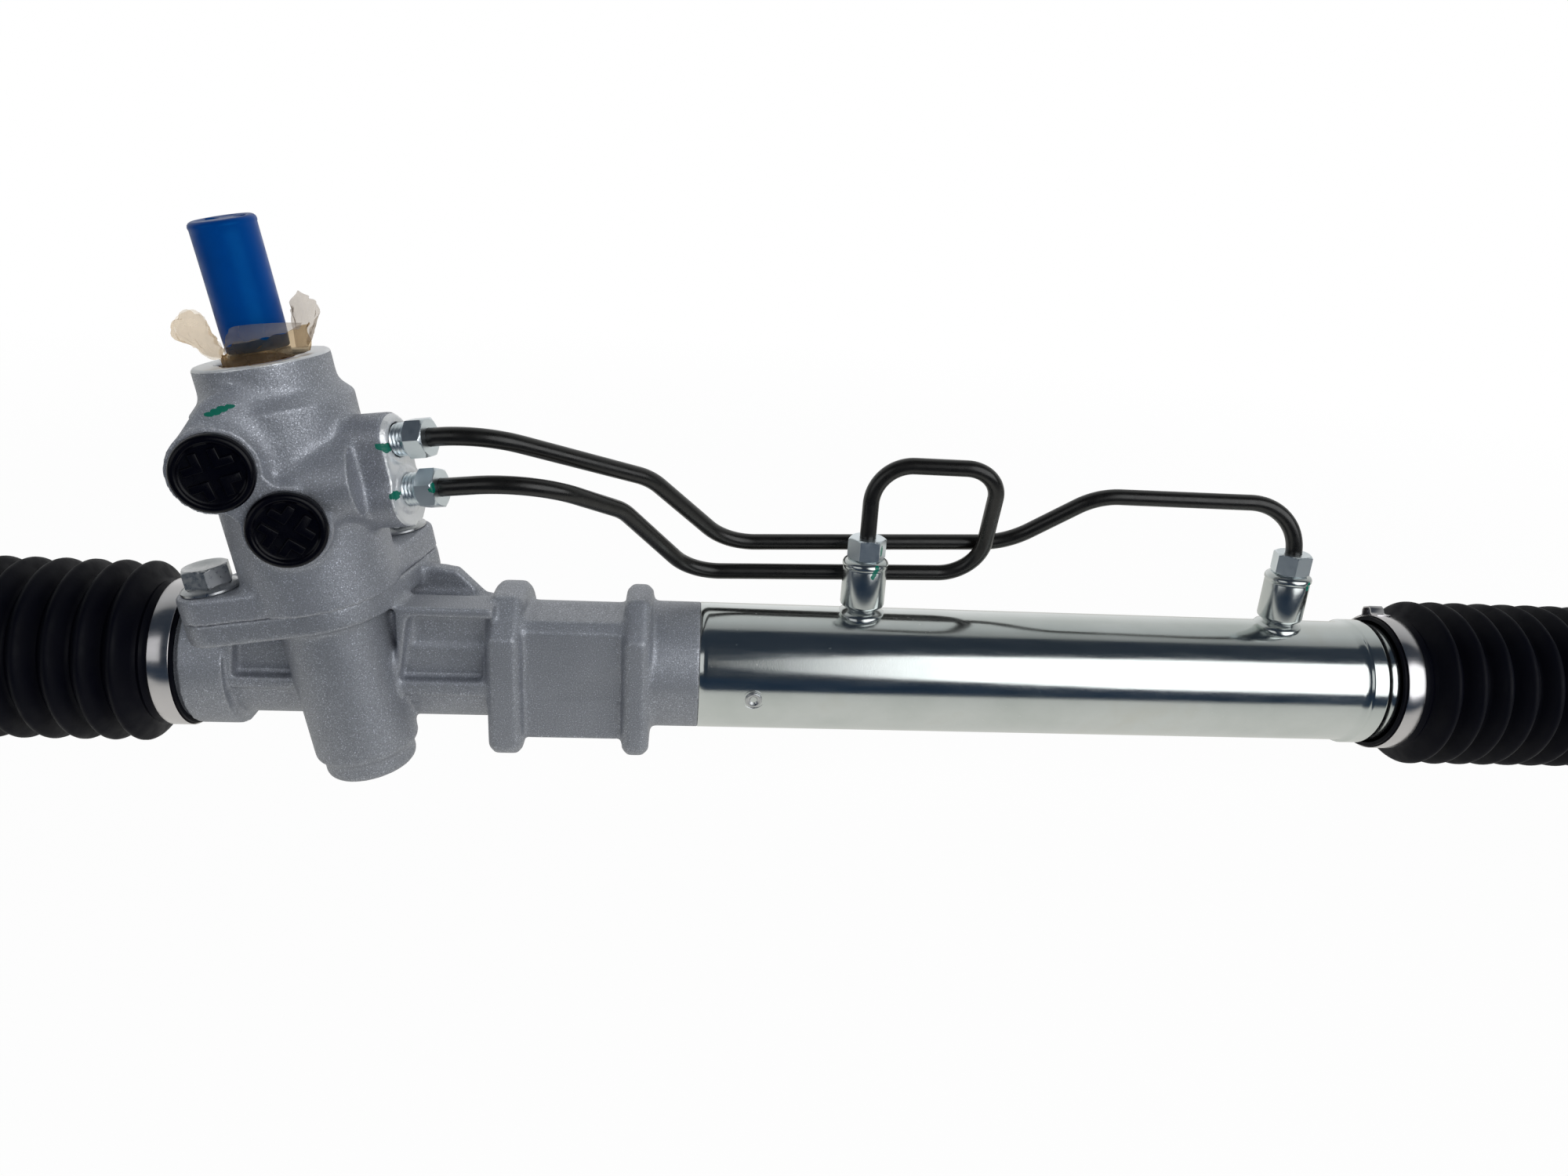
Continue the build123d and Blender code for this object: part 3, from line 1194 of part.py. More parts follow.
def make_tie_rod(ball_x, outward):
    """Tie rod: ball, slim neck, bar and threaded end."""
    neck = math.sqrt(BALL_RADIUS**2 - ROD_NECK_RADIUS**2)
    places = (
        (neck - 1, 0),
        (neck - 1, ROD_NECK_RADIUS),
        (ROD_NECK_LENGTH, ROD_NECK_RADIUS),
        (ROD_NECK_LENGTH + 3, ROD_RADIUS),
        (TIE_ROD_LENGTH - 1.5, ROD_RADIUS),
        (TIE_ROD_LENGTH, ROD_RADIUS - 1.5),
        (TIE_ROD_LENGTH, 0),
    )
    bar = turned_x(*[(ball_x + outward * x, radius) for x, radius in places])
    relief_start = TIE_ROD_LENGTH - THREAD_LENGTH - 3
    ends = sorted([ball_x + outward * relief_start, ball_x + outward * (relief_start + 3)])
    bar -= ring_x(ROD_RADIUS + 1, ROD_RADIUS - 1, *ends)
    return bar + Pos(ball_x, 0, 0) * Sphere(BALL_RADIUS)


def make_jam_nut(ball_x, outward):
    """Jam nut run up to the inner end of the tie rod's thread."""
    place = ball_x + outward * (TIE_ROD_LENGTH - THREAD_LENGTH + 6)
    plane = Plane(origin=(place, 0, 0), x_dir=(0, 1, 0), z_dir=(outward, 0, 0))
    nut = plane * (hexagon(JAM_NUT_WIDTH, JAM_NUT_HEIGHT))
    reach = 2 * JAM_NUT_HEIGHT
    return nut - disc_x(ROD_RADIUS + SLIDING_CLEARANCE, place - reach, place + reach)


def all_parts():
    """Every node of the model by name."""
    nodes = {
        "gear_housing": make_gear_housing(),
        "valve_housing": make_valve_housing(),
        "flange_bolts": make_flange_bolts(),
        "pressure_port_plug": make_port_plug(PLUG_FRAMES[0], 8),
        "return_port_plug": make_port_plug(PLUG_FRAMES[1], 45),
        "cylinder_tube": make_cylinder_tube(),
        "tube_set_pin": make_tube_set_pin(),
        "cylinder_port_left": make_cylinder_port(PORT_XS[0]),
        "cylinder_port_right": make_cylinder_port(PORT_XS[1]),
        "cylinder_nut_left": make_cylinder_nut(PORT_XS[0]),
        "cylinder_nut_right": make_cylinder_nut(PORT_XS[1]),
        "valve_nut_lower": make_valve_nut(LINE_PORT_FRAMES[0]),
        "valve_nut_upper": make_valve_nut(LINE_PORT_FRAMES[1]),
        "hydraulic_line_long": make_line(
            1, LINE_NUT_TOP + 17, LONG_LINE_BENDS, LONG_LINE_RADII, PORT_XS[1], LONG_LINE_TOP_Z
        ),
        "hydraulic_line_looped": make_line(
            0, LINE_NUT_TOP + 31, LOOPED_LINE_BENDS, LOOPED_LINE_RADII, PORT_XS[0], LOOP_TOP_Z
        ),
        "rack_guide": make_rack_guide(),
        "guide_disc_springs": make_guide_disc_springs(),
        "guide_plug": make_guide_plug(),
        "guide_lock_nut": make_guide_lock_nut(),
        "pinion_lower_bearing": make_pinion_lower_bearing(),
        "pinion_upper_bearing": make_pinion_upper_bearing(),
        "valve_top_bearing": make_valve_top_bearing(),
        "valve_top_seal": make_valve_top_seal(),
        "valve_snap_ring": make_valve_snap_ring(),
        "film_wrap": make_film_wrap(),
        "inner_rack_seal": make_inner_rack_seal(),
        "rack_end_bushing": make_rack_end_bushing(),
        "rack_end_seal": make_rack_end_seal(),
        "rack_bar": make_rack_bar(),
        "piston": make_piston(),
        "piston_ring": make_piston_ring(),
        "pinion_shaft": make_pinion_shaft(),
        "torsion_bar": make_torsion_bar(),
        "valve_sleeve": make_valve_sleeve(),
        "sleeve_seal_rings": make_sleeve_seal_rings(),
        "input_shaft": make_input_shaft(),
        "shaft_cap": make_shaft_cap(),
    }
    sides = (("left", LEFT_BALL_X, -1, LEFT_CUFF_X), ("right", RIGHT_BALL_X, 1, RIGHT_CUFF_X))
    for side, ball_x, outward, cuff_x in sides:
        nodes[side + "_boot"] = make_boot(cuff_x, outward)
        nodes[side + "_boot_clip"] = make_boot_clip(cuff_x, outward)
        nodes[side + "_ball_socket"] = make_ball_socket(ball_x, outward)
        nodes[side + "_ball_seat"] = make_ball_seat(ball_x, outward)
        nodes[side + "_lock_washer"] = make_lock_washer(ball_x, outward)
        nodes[side + "_tie_rod"] = make_tie_rod(ball_x, outward)
        nodes[side + "_jam_nut"] = make_jam_nut(ball_x, outward)
    nodes["left_boot_band"] = make_boot_band(left_band_x(), 150)
    nodes["right_boot_band"] = make_boot_band(right_band_x(), -25)
    return nodes


os.makedirs("parts", exist_ok=True)
for name, shape in all_parts().items():
    export_step(shape, "parts/" + name + ".step")
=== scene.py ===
import json
import math

import bmesh
import bpy
import numpy as np
from mathutils import Matrix, Vector, noise


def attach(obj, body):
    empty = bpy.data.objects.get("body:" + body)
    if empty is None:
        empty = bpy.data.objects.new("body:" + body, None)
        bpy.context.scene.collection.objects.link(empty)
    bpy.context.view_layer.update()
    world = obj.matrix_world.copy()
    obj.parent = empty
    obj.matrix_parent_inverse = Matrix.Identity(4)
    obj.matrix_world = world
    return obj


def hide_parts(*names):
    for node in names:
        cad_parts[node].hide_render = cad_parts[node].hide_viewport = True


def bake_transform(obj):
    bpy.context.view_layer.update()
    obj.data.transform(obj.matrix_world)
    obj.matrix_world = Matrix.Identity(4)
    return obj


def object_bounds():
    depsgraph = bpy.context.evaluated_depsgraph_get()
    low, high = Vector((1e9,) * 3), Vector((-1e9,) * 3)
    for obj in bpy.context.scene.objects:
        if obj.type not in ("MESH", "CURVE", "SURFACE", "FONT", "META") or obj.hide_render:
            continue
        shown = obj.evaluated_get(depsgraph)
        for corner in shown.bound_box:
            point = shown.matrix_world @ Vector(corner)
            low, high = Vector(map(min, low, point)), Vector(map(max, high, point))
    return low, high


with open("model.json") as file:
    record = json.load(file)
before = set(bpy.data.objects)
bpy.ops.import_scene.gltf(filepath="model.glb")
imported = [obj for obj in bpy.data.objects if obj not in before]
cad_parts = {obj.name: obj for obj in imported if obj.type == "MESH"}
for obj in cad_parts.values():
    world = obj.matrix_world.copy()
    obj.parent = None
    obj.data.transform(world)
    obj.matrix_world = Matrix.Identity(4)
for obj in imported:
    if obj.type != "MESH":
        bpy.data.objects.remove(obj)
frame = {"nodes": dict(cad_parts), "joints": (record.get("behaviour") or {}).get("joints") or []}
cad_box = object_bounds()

MM = 0.001

# Places from the frame
JOINTS = {joint["name"]: joint for joint in frame["joints"]}
PINION_AXIS = Vector(JOINTS["pinion_turn"]["axis"]).normalized()
PINION_POINT = Vector(JOINTS["pinion_turn"]["pos_m"])
PINION_BACK = Vector((0, 1, 0))
PINION_RIGHT = PINION_BACK.cross(PINION_AXIS)
LEFT_BALL = Vector(JOINTS["left_rod_sweep"]["pos_m"])
RIGHT_BALL = Vector(JOINTS["right_rod_sweep"]["pos_m"])
PINION_MATRIX = Matrix.Translation(PINION_POINT) @ Matrix(
    (PINION_RIGHT, PINION_BACK, PINION_AXIS)
).transposed().to_4x4()
RACK_MATRIX = Matrix(((0, 0, 1, 0), (0, 1, 0, 0), (-1, 0, 0, 0), (0, 0, 0, 1)))

# Places of the visible parts: mm, and degrees about the pinion's axis
PINION_X = -79.7
PORT_TURN, PLUG_TURN = -15.0, -75.0
LINE_PORTS = {"lower": 66.0, "upper": 82.5}
PLUG_PLACES = {"pressure": (-18.0, 84.0), "return": (-2.5, 63.0)}
FLANGE_BOLT_SPOTS = ((-32.5, -9.6), (18.5, 36.0))
FLANGE_TOP = 41.0
TOP_FACE = 112.0


# Mesh helpers

def add_object(name, bm):
    mesh = bpy.data.meshes.new(name)
    bm.to_mesh(mesh)
    bm.free()
    piece = bpy.data.objects.new(name, mesh)
    bpy.context.scene.collection.objects.link(piece)
    return piece


def smooth(piece, angle=35):
    """Smooth shading with the edges steeper than an angle kept sharp."""
    bm = bmesh.new()
    bm.from_mesh(piece.data)
    bmesh.ops.recalc_face_normals(bm, faces=bm.faces)
    limit = math.radians(angle)
    for face in bm.faces:
        face.smooth = True
    for edge in bm.edges:
        edge.smooth = len(edge.link_faces) == 2 and edge.calc_face_angle(0) < limit
    bm.to_mesh(piece.data)
    bm.free()
    return piece


def modify(piece, kind, **settings):
    """Applies a modifier to a piece."""
    modifier = piece.modifiers.new(kind.lower(), kind)
    for key, value in settings.items():
        setattr(modifier, key, value)
    graph = bpy.context.evaluated_depsgraph_get()
    mesh = bpy.data.meshes.new_from_object(piece.evaluated_get(graph))
    piece.modifiers.clear()
    piece.data = mesh
    return piece


def bevel(piece, width, segments=2, angle=30):
    limit = math.radians(angle)
    return modify(piece, "BEVEL", width=width, segments=segments, limit_method="ANGLE", angle_limit=limit)


def cut_away(piece, cutter):
    """Takes a cutter's shape out of a piece."""
    modify(piece, "BOOLEAN", operation="DIFFERENCE", solver="EXACT", object=cutter)
    bpy.data.objects.remove(cutter)
    return piece


def finish_piece(piece, body, material, replaced=()):
    piece.data.materials.clear()
    piece.data.materials.append(material)
    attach(piece, body)
    if replaced:
        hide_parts(*replaced)
    return piece


def lathe(name, profile, matrix, segments=96, wobble=None, closed=False, sharp=35):
    """Turned piece from (radius, height) points in mm about the matrix's z axis."""
    bm = bmesh.new()
    rings = []
    for radius, height in profile:
        if radius == 0:
            rings.append([bm.verts.new(matrix @ Vector((0, 0, height * MM)))])
            continue
        ring = []
        for k in range(segments):
            angle = 2 * math.pi * k / segments
            r = radius if wobble is None else wobble(radius, height, angle)
            place = Vector((r * math.cos(angle), r * math.sin(angle), height)) * MM
            ring.append(bm.verts.new(matrix @ place))
        rings.append(ring)
    pairs = list(zip(rings, rings[1:]))
    if closed:
        pairs.append((rings[-1], rings[0]))
    for low, high in pairs:
        for k in range(segments):
            n = (k + 1) % segments
            corners = [low[k % len(low)], low[n % len(low)], high[n % len(high)], high[k % len(high)]]
            corners = list(dict.fromkeys(corners))
            if len(corners) > 2:
                bm.faces.new(corners)
    return smooth(add_object(name, bm), sharp)


def fillet_path(points, radii, step=1.0):
    """Points along straight runs joined by arcs, in mm."""
    points = [Vector(p) for p in points]
    path = [points[0]]
    for before, corner, after, radius in zip(points, points[1:], points[2:], radii):
        into = (corner - before).normalized()
        out = (after - corner).normalized()
        turn = into.angle(out)
        tangent = radius * math.tan(turn / 2)
        start = corner - into * tangent
        side = (out - into * into.dot(out)).normalized()
        centre = start + side * radius
        count = max(3, int(radius * turn / step))
        for k in range(count + 1):
            a = turn * k / count
            path.append(centre + into * (radius * math.sin(a)) - side * (radius * math.cos(a)))
    path.append(points[-1])
    return path


def loft(name, rings):
    """Closed skin over rings of points in metres, with a face at each end."""
    bm = bmesh.new()
    rings = [[bm.verts.new(point) for point in ring] for ring in rings]
    size = len(rings[0])
    for low, high in zip(rings, rings[1:]):
        for k in range(size):
            n = (k + 1) % size
            bm.faces.new((low[k], low[n], high[n], high[k]))
    bm.faces.new(rings[0])
    bm.faces.new(rings[-1])
    bmesh.ops.recalc_face_normals(bm, faces=bm.faces)
    return add_object(name, bm)


def tube_mesh(name, path, radius, sides=28):
    """Round tube along points in mm, its ends closed."""
    normal = (path[1] - path[0]).normalized().orthogonal().normalized()
    turns = [2 * math.pi * k / sides for k in range(sides)]
    rings = []
    for behind, point, ahead in zip(path[:1] + path, path, path[1:] + path[-1:]):
        along = (ahead - behind).normalized()
        normal = (normal - along * normal.dot(along)).normalized()
        other = along.cross(normal)
        rings.append([(point + (normal * math.cos(a) + other * math.sin(a)) * radius) * MM for a in turns])
    return smooth(loft(name, rings), 50)


# Material helpers

def feed(tree, element, inputs):
    """Links a node's inputs to sockets, or sets them to numbers, vectors and colours."""
    for key, value in inputs.items():
        socket = element.inputs[key]
        if isinstance(value, bpy.types.NodeSocket):
            tree.links.new(value, socket)
        else:
            socket.default_value = (*value, 1) if socket.type == "RGBA" else value


def add_node(tree, kind, inputs, **settings):
    element = tree.nodes.new("ShaderNode" + kind)
    for key, value in settings.items():
        setattr(element, key, value)
    feed(tree, element, inputs)
    return element


def new_material(name, colour, metallic, roughness, **others):
    """Material, its node tree and its surface shader."""
    material = bpy.data.materials.new(name)
    material.use_nodes = True
    tree = material.node_tree
    bsdf = tree.nodes["Principled BSDF"]
    feed(tree, bsdf, {"Base Color": colour, "Metallic": metallic, "Roughness": roughness})
    feed(tree, bsdf, {key.replace("_", " "): value for key, value in others.items()})
    return material, tree, bsdf


def surface(tree, shader):
    feed(tree, tree.nodes["Material Output"], {"Surface": shader})


def object_coords(tree, scale=(1, 1, 1)):
    coords = add_node(tree, "TexCoord", {}).outputs["Object"]
    return add_node(tree, "Mapping", {"Vector": coords, "Scale": scale}).outputs["Vector"]


def noise_value(tree, vector, scale, detail=3.0, rough=0.55):
    inputs = {"Vector": vector, "Scale": scale, "Detail": detail, "Roughness": rough}
    return add_node(tree, "TexNoise", inputs).outputs["Fac"]


def ramp(tree, value, *stops):
    """Colour ramp from (position, grey or colour) stops."""
    element = add_node(tree, "ValToRGB", {"Fac": value})
    points = element.color_ramp.elements
    while len(points) < len(stops):
        points.new(0.5)
    for point, (position, colour) in zip(points, stops):
        point.position = position
        point.color = (colour, colour, colour, 1) if isinstance(colour, float) else (*colour, 1)
    return element.outputs["Color"]


def maths(tree, operation, *values):
    return add_node(tree, "Math", dict(enumerate(values)), operation=operation).outputs["Value"]


def vector_maths(tree, operation, *values):
    return add_node(tree, "VectorMath", dict(enumerate(values)), operation=operation).outputs


def mix_colour(tree, factor, first, second, blend="MIX"):
    inputs = {0: factor, 6: first, 7: second}
    return add_node(tree, "Mix", inputs, data_type="RGBA", blend_type=blend).outputs[2]


def multiply(tree, first, second):
    return mix_colour(tree, 1.0, first, second, "MULTIPLY")


def mix_shader(tree, factor, first, second):
    return add_node(tree, "MixShader", {"Fac": factor, 1: first, 2: second}).outputs["Shader"]


def add_bump(tree, bsdf, height, strength, distance, before=None):
    bump = add_node(tree, "Bump", {"Height": height, "Strength": strength, "Distance": distance})
    if before is not None:
        feed(tree, bump, {"Normal": before})
    feed(tree, bsdf, {"Normal": bump.outputs["Normal"]})
    return bump.outputs["Normal"]


def height_over(tree, vector, direction, offset):
    """How far a point lies beyond a plane, in metres."""
    return maths(tree, "SUBTRACT", vector_maths(tree, "DOT_PRODUCT", vector, direction)["Value"], offset)


def spot_mask(tree, vector, centre, size):
    """Ragged paint spot: 1 inside an ellipsoid about a point, 0 outside."""
    shifted = vector_maths(tree, "SUBTRACT", vector, centre)["Vector"]
    length = vector_maths(tree, "LENGTH", vector_maths(tree, "DIVIDE", shifted, size)["Vector"])["Value"]
    ragged = maths(tree, "MULTIPLY", noise_value(tree, vector, 700, 2), 0.7)
    return maths(tree, "LESS_THAN", maths(tree, "ADD", length, ragged), 1.3)


PAINT_GREEN = (0.0, 0.2, 0.135)
WORN_EDGE = (0.62, 0.62, 0.63)
MACHINED_FACE = (0.84, 0.85, 0.87)
CAST_METALLIC = 0.5


def paint_over(tree, bsdf, vector, colour, spots, metallic):
    """Green paint in spots over a metal's colour."""
    for centre, size in spots:
        mask = spot_mask(tree, vector, centre, size)
        colour = mix_colour(tree, mask, colour, PAINT_GREEN)
        metallic = maths(tree, "MULTIPLY", maths(tree, "SUBTRACT", 1.0, mask), metallic)
    feed(tree, bsdf, {"Base Color": colour, "Metallic": metallic})


def cast_aluminium(name, dark, light, machined=(), spots=()):
    """Blasted cast aluminium with worn bright edges, machined faces and a painted highlight on faces that
    look up and to the front.
    """
    material, tree, bsdf = new_material(name, light, CAST_METALLIC, 0.5)
    vector = object_coords(tree)
    flecks = noise_value(tree, vector, 2600, 1, 0.5)
    geometry = add_node(tree, "NewGeometry", {}).outputs
    colour = mix_colour(tree, noise_value(tree, vector, 38, 4), dark, light)
    colour = multiply(tree, colour, ramp(tree, flecks, (0.35, 0.75), (0.62, 1.0), (0.72, 1.9)))
    edge = ramp(tree, geometry["Pointiness"], (0.52, 0.0), (0.60, 1.0))
    edge = maths(tree, "MULTIPLY", edge, maths(tree, "MULTIPLY", noise_value(tree, vector, 500, 3), 1.1))
    colour = mix_colour(tree, edge, colour, WORN_EDGE)
    roughness = ramp(tree, flecks, (0.3, 0.58), (0.7, 0.36))
    for direction, offset in machined:
        mask = maths(tree, "GREATER_THAN", height_over(tree, vector, direction, offset), 0.0)
        colour = mix_colour(tree, mask, colour, MACHINED_FACE)
        roughness = mix_colour(tree, mask, roughness, (0.3, 0.3, 0.3))
    # Painted highlight: faces that look up and to the front are painted up to a third lighter, as if they
    # caught more light.
    slope = height_over(tree, geometry["Normal"], (0.12, -0.70, 0.70), 0.0)
    colour = multiply(tree, colour, ramp(tree, slope, (0.72, 1.0), (0.97, 1.3)))
    paint_over(tree, bsdf, vector, colour, spots, CAST_METALLIC)
    feed(tree, bsdf, {"Roughness": roughness})
    bump = add_bump(tree, bsdf, noise_value(tree, vector, 420, 3), 0.35, 0.00035)
    add_bump(tree, bsdf, noise_value(tree, vector, 1500, 2, 0.7), 0.55, 0.00022, bump)
    return material


def steel(name, colour, roughness, grain_scale, streak=(1, 1, 1), variation=0.12, spots=(), grain=1.0):
    """Bare or plated steel with fine marks along one direction."""
    material, tree, bsdf = new_material(name, colour, 1.0, roughness)
    plain = object_coords(tree)
    scuffs = noise_value(tree, object_coords(tree, streak), grain_scale, 3, 0.6)
    tone = ramp(tree, noise_value(tree, plain, 45, 4), (0.3, 1.0 - variation), (0.7, 1.0))
    paint_over(tree, bsdf, plain, multiply(tree, colour, tone), spots, 1.0)
    smoothest = max(0.02, roughness - 0.08 * grain)
    feed(tree, bsdf, {"Roughness": ramp(tree, scuffs, (0.3, smoothest), (0.7, roughness + 0.1 * grain))})
    add_bump(tree, bsdf, scuffs, 0.08 * grain, 0.00005)
    return material


def plated_tube(name):
    """Zinc plated tube: nearly a mirror, a little cloudy, with fine scratches."""
    material, tree, bsdf = new_material(name, (0.66, 0.69, 0.68), 1.0, 0.1)
    plain = object_coords(tree)
    clouds = noise_value(tree, plain, 30, 5)
    colour = ramp(
        tree, clouds, (0.25, (0.60, 0.64, 0.62)), (0.6, (0.70, 0.73, 0.72)), (0.8, (0.66, 0.67, 0.63))
    )
    scratch = noise_value(tree, object_coords(tree, (0.25, 2.2, 2.2)), 900, 2, 0.9)
    sparse = ramp(tree, noise_value(tree, plain, 26, 2), (0.52, 0.0), (0.62, 1.0))
    scratch = multiply(tree, ramp(tree, scratch, (0.73, 0.0), (0.76, 1.0)), sparse)
    drawn = noise_value(tree, object_coords(tree, (1, 9, 9)), 55, 4)
    rough = ramp(tree, drawn, (0.3, 0.12), (0.75, 0.19))
    feed(tree, bsdf, {
        "Base Color": mix_colour(tree, scratch, colour, (0.9, 0.9, 0.88)),
        "Roughness": mix_colour(tree, scratch, rough, (0.5, 0.5, 0.5)),
    })
    bump = add_bump(tree, bsdf, noise_value(tree, object_coords(tree, (1, 4, 4)), 60, 3), 0.03, 0.0004)
    add_bump(tree, bsdf, noise_value(tree, plain, 1900, 2), 0.07, 0.00012, bump)
    return material


def clouded(tree, bsdf, colour, paler, cloud_scale, roughness, rough_scale, reach):
    """Colour and gloss that vary softly over a surface."""
    vector = object_coords(tree)
    lighter = tuple(min(1, c * paler + 0.0006) for c in colour)
    rough = noise_value(tree, vector, rough_scale, 3)
    feed(tree, bsdf, {
        "Base Color": mix_colour(tree, noise_value(tree, vector, cloud_scale, 4), colour, lighter),
        "Roughness": ramp(tree, rough, (0.3, roughness - reach[0]), (0.7, roughness + reach[1])),
    })
    return vector


def rubber(name, colour=(0.0008, 0.001, 0.0042), roughness=0.5):
    material, tree, bsdf = new_material(name, colour, 0.0, roughness, Specular_IOR_Level=0.11)
    vector = clouded(tree, bsdf, colour, 1.7, 70, roughness, 160, (0.08, 0.12))
    add_bump(tree, bsdf, noise_value(tree, vector, 1300, 2), 0.15, 0.0001)
    return material


def painted(name, colour, roughness, gloss=0.5, coat=0.0, sheen=(1.0, 1.0, 1.0)):
    material, tree, bsdf = new_material(
        name, colour, 0.0, roughness, Specular_IOR_Level=gloss, Specular_Tint=sheen,
        Coat_Weight=coat, Coat_Roughness=0.2,
    )
    vector = clouded(tree, bsdf, colour, 1.35, 110, roughness, 260, (0.07, 0.08))
    add_bump(tree, bsdf, noise_value(tree, vector, 900, 3), 0.12, 0.0001)
    return material


def film_material(name, tint, glow, solid, shine=0.25):
    """Thin clear film that tints what lies behind it and glows a little with light from its far side."""
    material, tree, bsdf = new_material(name, glow, 0.0, shine)
    vector = object_coords(tree)
    clear = add_node(tree, "BsdfTransparent", {"Color": tint}).outputs["BSDF"]
    through = add_node(tree, "BsdfTranslucent", {"Color": glow})
    body = mix_shader(tree, 0.65, bsdf.outputs["BSDF"], through.outputs["BSDF"])
    share = ramp(tree, noise_value(tree, vector, 55, 2), (0.35, solid + 0.14), (0.65, solid - 0.1))
    surface(tree, mix_shader(tree, share, clear, body))
    bump = add_bump(tree, bsdf, noise_value(tree, vector, 130, 3, 0.5), 0.5, 0.0012)
    feed(tree, through, {"Normal": bump})
    return material


# Camera, at the photograph's place and angle

CAMERA_PLACE = Vector((36.4, -381.2, 170.9)) * MM
CAMERA_YAW, CAMERA_PITCH, CAMERA_ROLL = (math.radians(a) for a in (-5.61, 19.98, 3.77))
CAMERA_FOCAL_PIXELS = 1400
IMAGE_WIDTH = 2000
SENSOR_WIDTH = 36.0


def make_camera():
    right = Vector((math.cos(CAMERA_YAW), math.sin(CAMERA_YAW), 0))
    level = Vector((-right.y, right.x, 0))
    top = Vector((0, 0, 1))
    forward = level * math.cos(CAMERA_PITCH) - top * math.sin(CAMERA_PITCH)
    upward = top * math.cos(CAMERA_PITCH) + level * math.sin(CAMERA_PITCH)
    across = right * math.cos(CAMERA_ROLL) + upward * math.sin(CAMERA_ROLL)
    over = upward * math.cos(CAMERA_ROLL) - right * math.sin(CAMERA_ROLL)
    data = bpy.data.cameras.new("camera")
    data.sensor_width = SENSOR_WIDTH
    data.lens = CAMERA_FOCAL_PIXELS / IMAGE_WIDTH * SENSOR_WIDTH
    data.clip_start = 0.01
    camera = bpy.data.objects.new("camera", data)
    turn = Matrix((across, over, -forward)).transposed().to_4x4()
    camera.matrix_world = Matrix.Translation(CAMERA_PLACE) @ turn
    bpy.context.scene.collection.objects.link(camera)
    bpy.context.scene.camera = camera


# Light, floor and world

def seen_directly(tree):
    """The light path's outputs, and 1 where the camera sees a thing directly or through the film."""
    path = add_node(tree, "LightPath", {}).outputs
    return path, maths(tree, "MAXIMUM", path["Is Camera Ray"], path["Is Transmission Ray"])


def split(tree, vector):
    return add_node(tree, "SeparateXYZ", {"Vector": vector}).outputs


def make_world():
    """White to the camera; to everything else a dark room in front and a pale sweep behind."""
    world = bpy.data.worlds.new("studio")
    bpy.context.scene.world = world
    world.use_nodes = True
    tree = world.node_tree
    around = split(tree, add_node(tree, "TexCoord", {}).outputs["Generated"])
    depth = maths(tree, "ADD", maths(tree, "MULTIPLY", around["Y"], 0.5), 0.5)
    studio = ramp(
        tree, depth,
        (0.0, (0.02, 0.03, 0.045)), (0.49, (0.025, 0.035, 0.05)), (0.52, (0.30, 0.31, 0.31)),
        (0.68, (0.50, 0.52, 0.52)), (0.86, (0.62, 0.63, 0.62)), (1.0, (0.9, 0.9, 0.9)),
    )
    seen = seen_directly(tree)[1]
    feed(tree, tree.nodes["Background"], {"Color": mix_colour(tree, seen, studio, (1.0, 1.0, 1.0))})


# Panels curve round the rack at a reach, and their slopes count from the middle of the picture.
PANEL_REACH, PANEL_SPREAD, PANEL_CENTRE = 1.4, 1.82, 0.036
RIGHT_PANEL = [
    (0.02, 26), (0.10, 38), (0.20, 48), (0.45, 54), (0.80, 55), (1.5, 55),
    (1.5, -5), (0.80, -5), (0.45, -4), (0.20, 6), (0.10, 14), (0.02, 24),
]
LEFT_PANEL = [(-1.6, 48), (-0.32, 44), (-0.32, 8), (-1.6, 0)]
FLOOR_DROP = 0.02


def light_panel(name, corners, strength, fade=None):
    """Glowing panel through corners, given as slope along the rack and angle about it, that no camera sees.

    A fade gives the slopes where its light starts and where it is full."""
    bm = bmesh.new()
    points = []
    for slope, angle in corners:
        a = math.radians(angle)
        place = (PANEL_CENTRE + slope * PANEL_SPREAD, -PANEL_REACH * math.cos(a), PANEL_REACH * math.sin(a))
        points.append(bm.verts.new(place))
    for k in range(len(points) // 2 - 1):
        bm.faces.new((points[k], points[k + 1], points[-k - 2], points[-k - 1]))
    panel = add_object(name, bm)
    material = bpy.data.materials.new(name)
    material.use_nodes = True
    tree = material.node_tree
    tree.nodes.remove(tree.nodes["Principled BSDF"])
    if fade:
        start, full = (PANEL_CENTRE + slope * PANEL_SPREAD for slope in fade)
        along = split(tree, object_coords(tree))["X"]
        share = maths(tree, "DIVIDE", maths(tree, "SUBTRACT", along, start), full - start)
        light = ramp(tree, share, (0.0, 0.0), (0.25, 0.12), (0.55, 0.45), (1.0, 1.0))
        strength = maths(tree, "MULTIPLY", light, strength)
    glow = add_node(tree, "Emission", {"Color": (0.97, 0.99, 1.0), "Strength": strength})
    surface(tree, glow.outputs["Emission"])
    panel.data.materials.append(material)
    panel.visible_camera = False


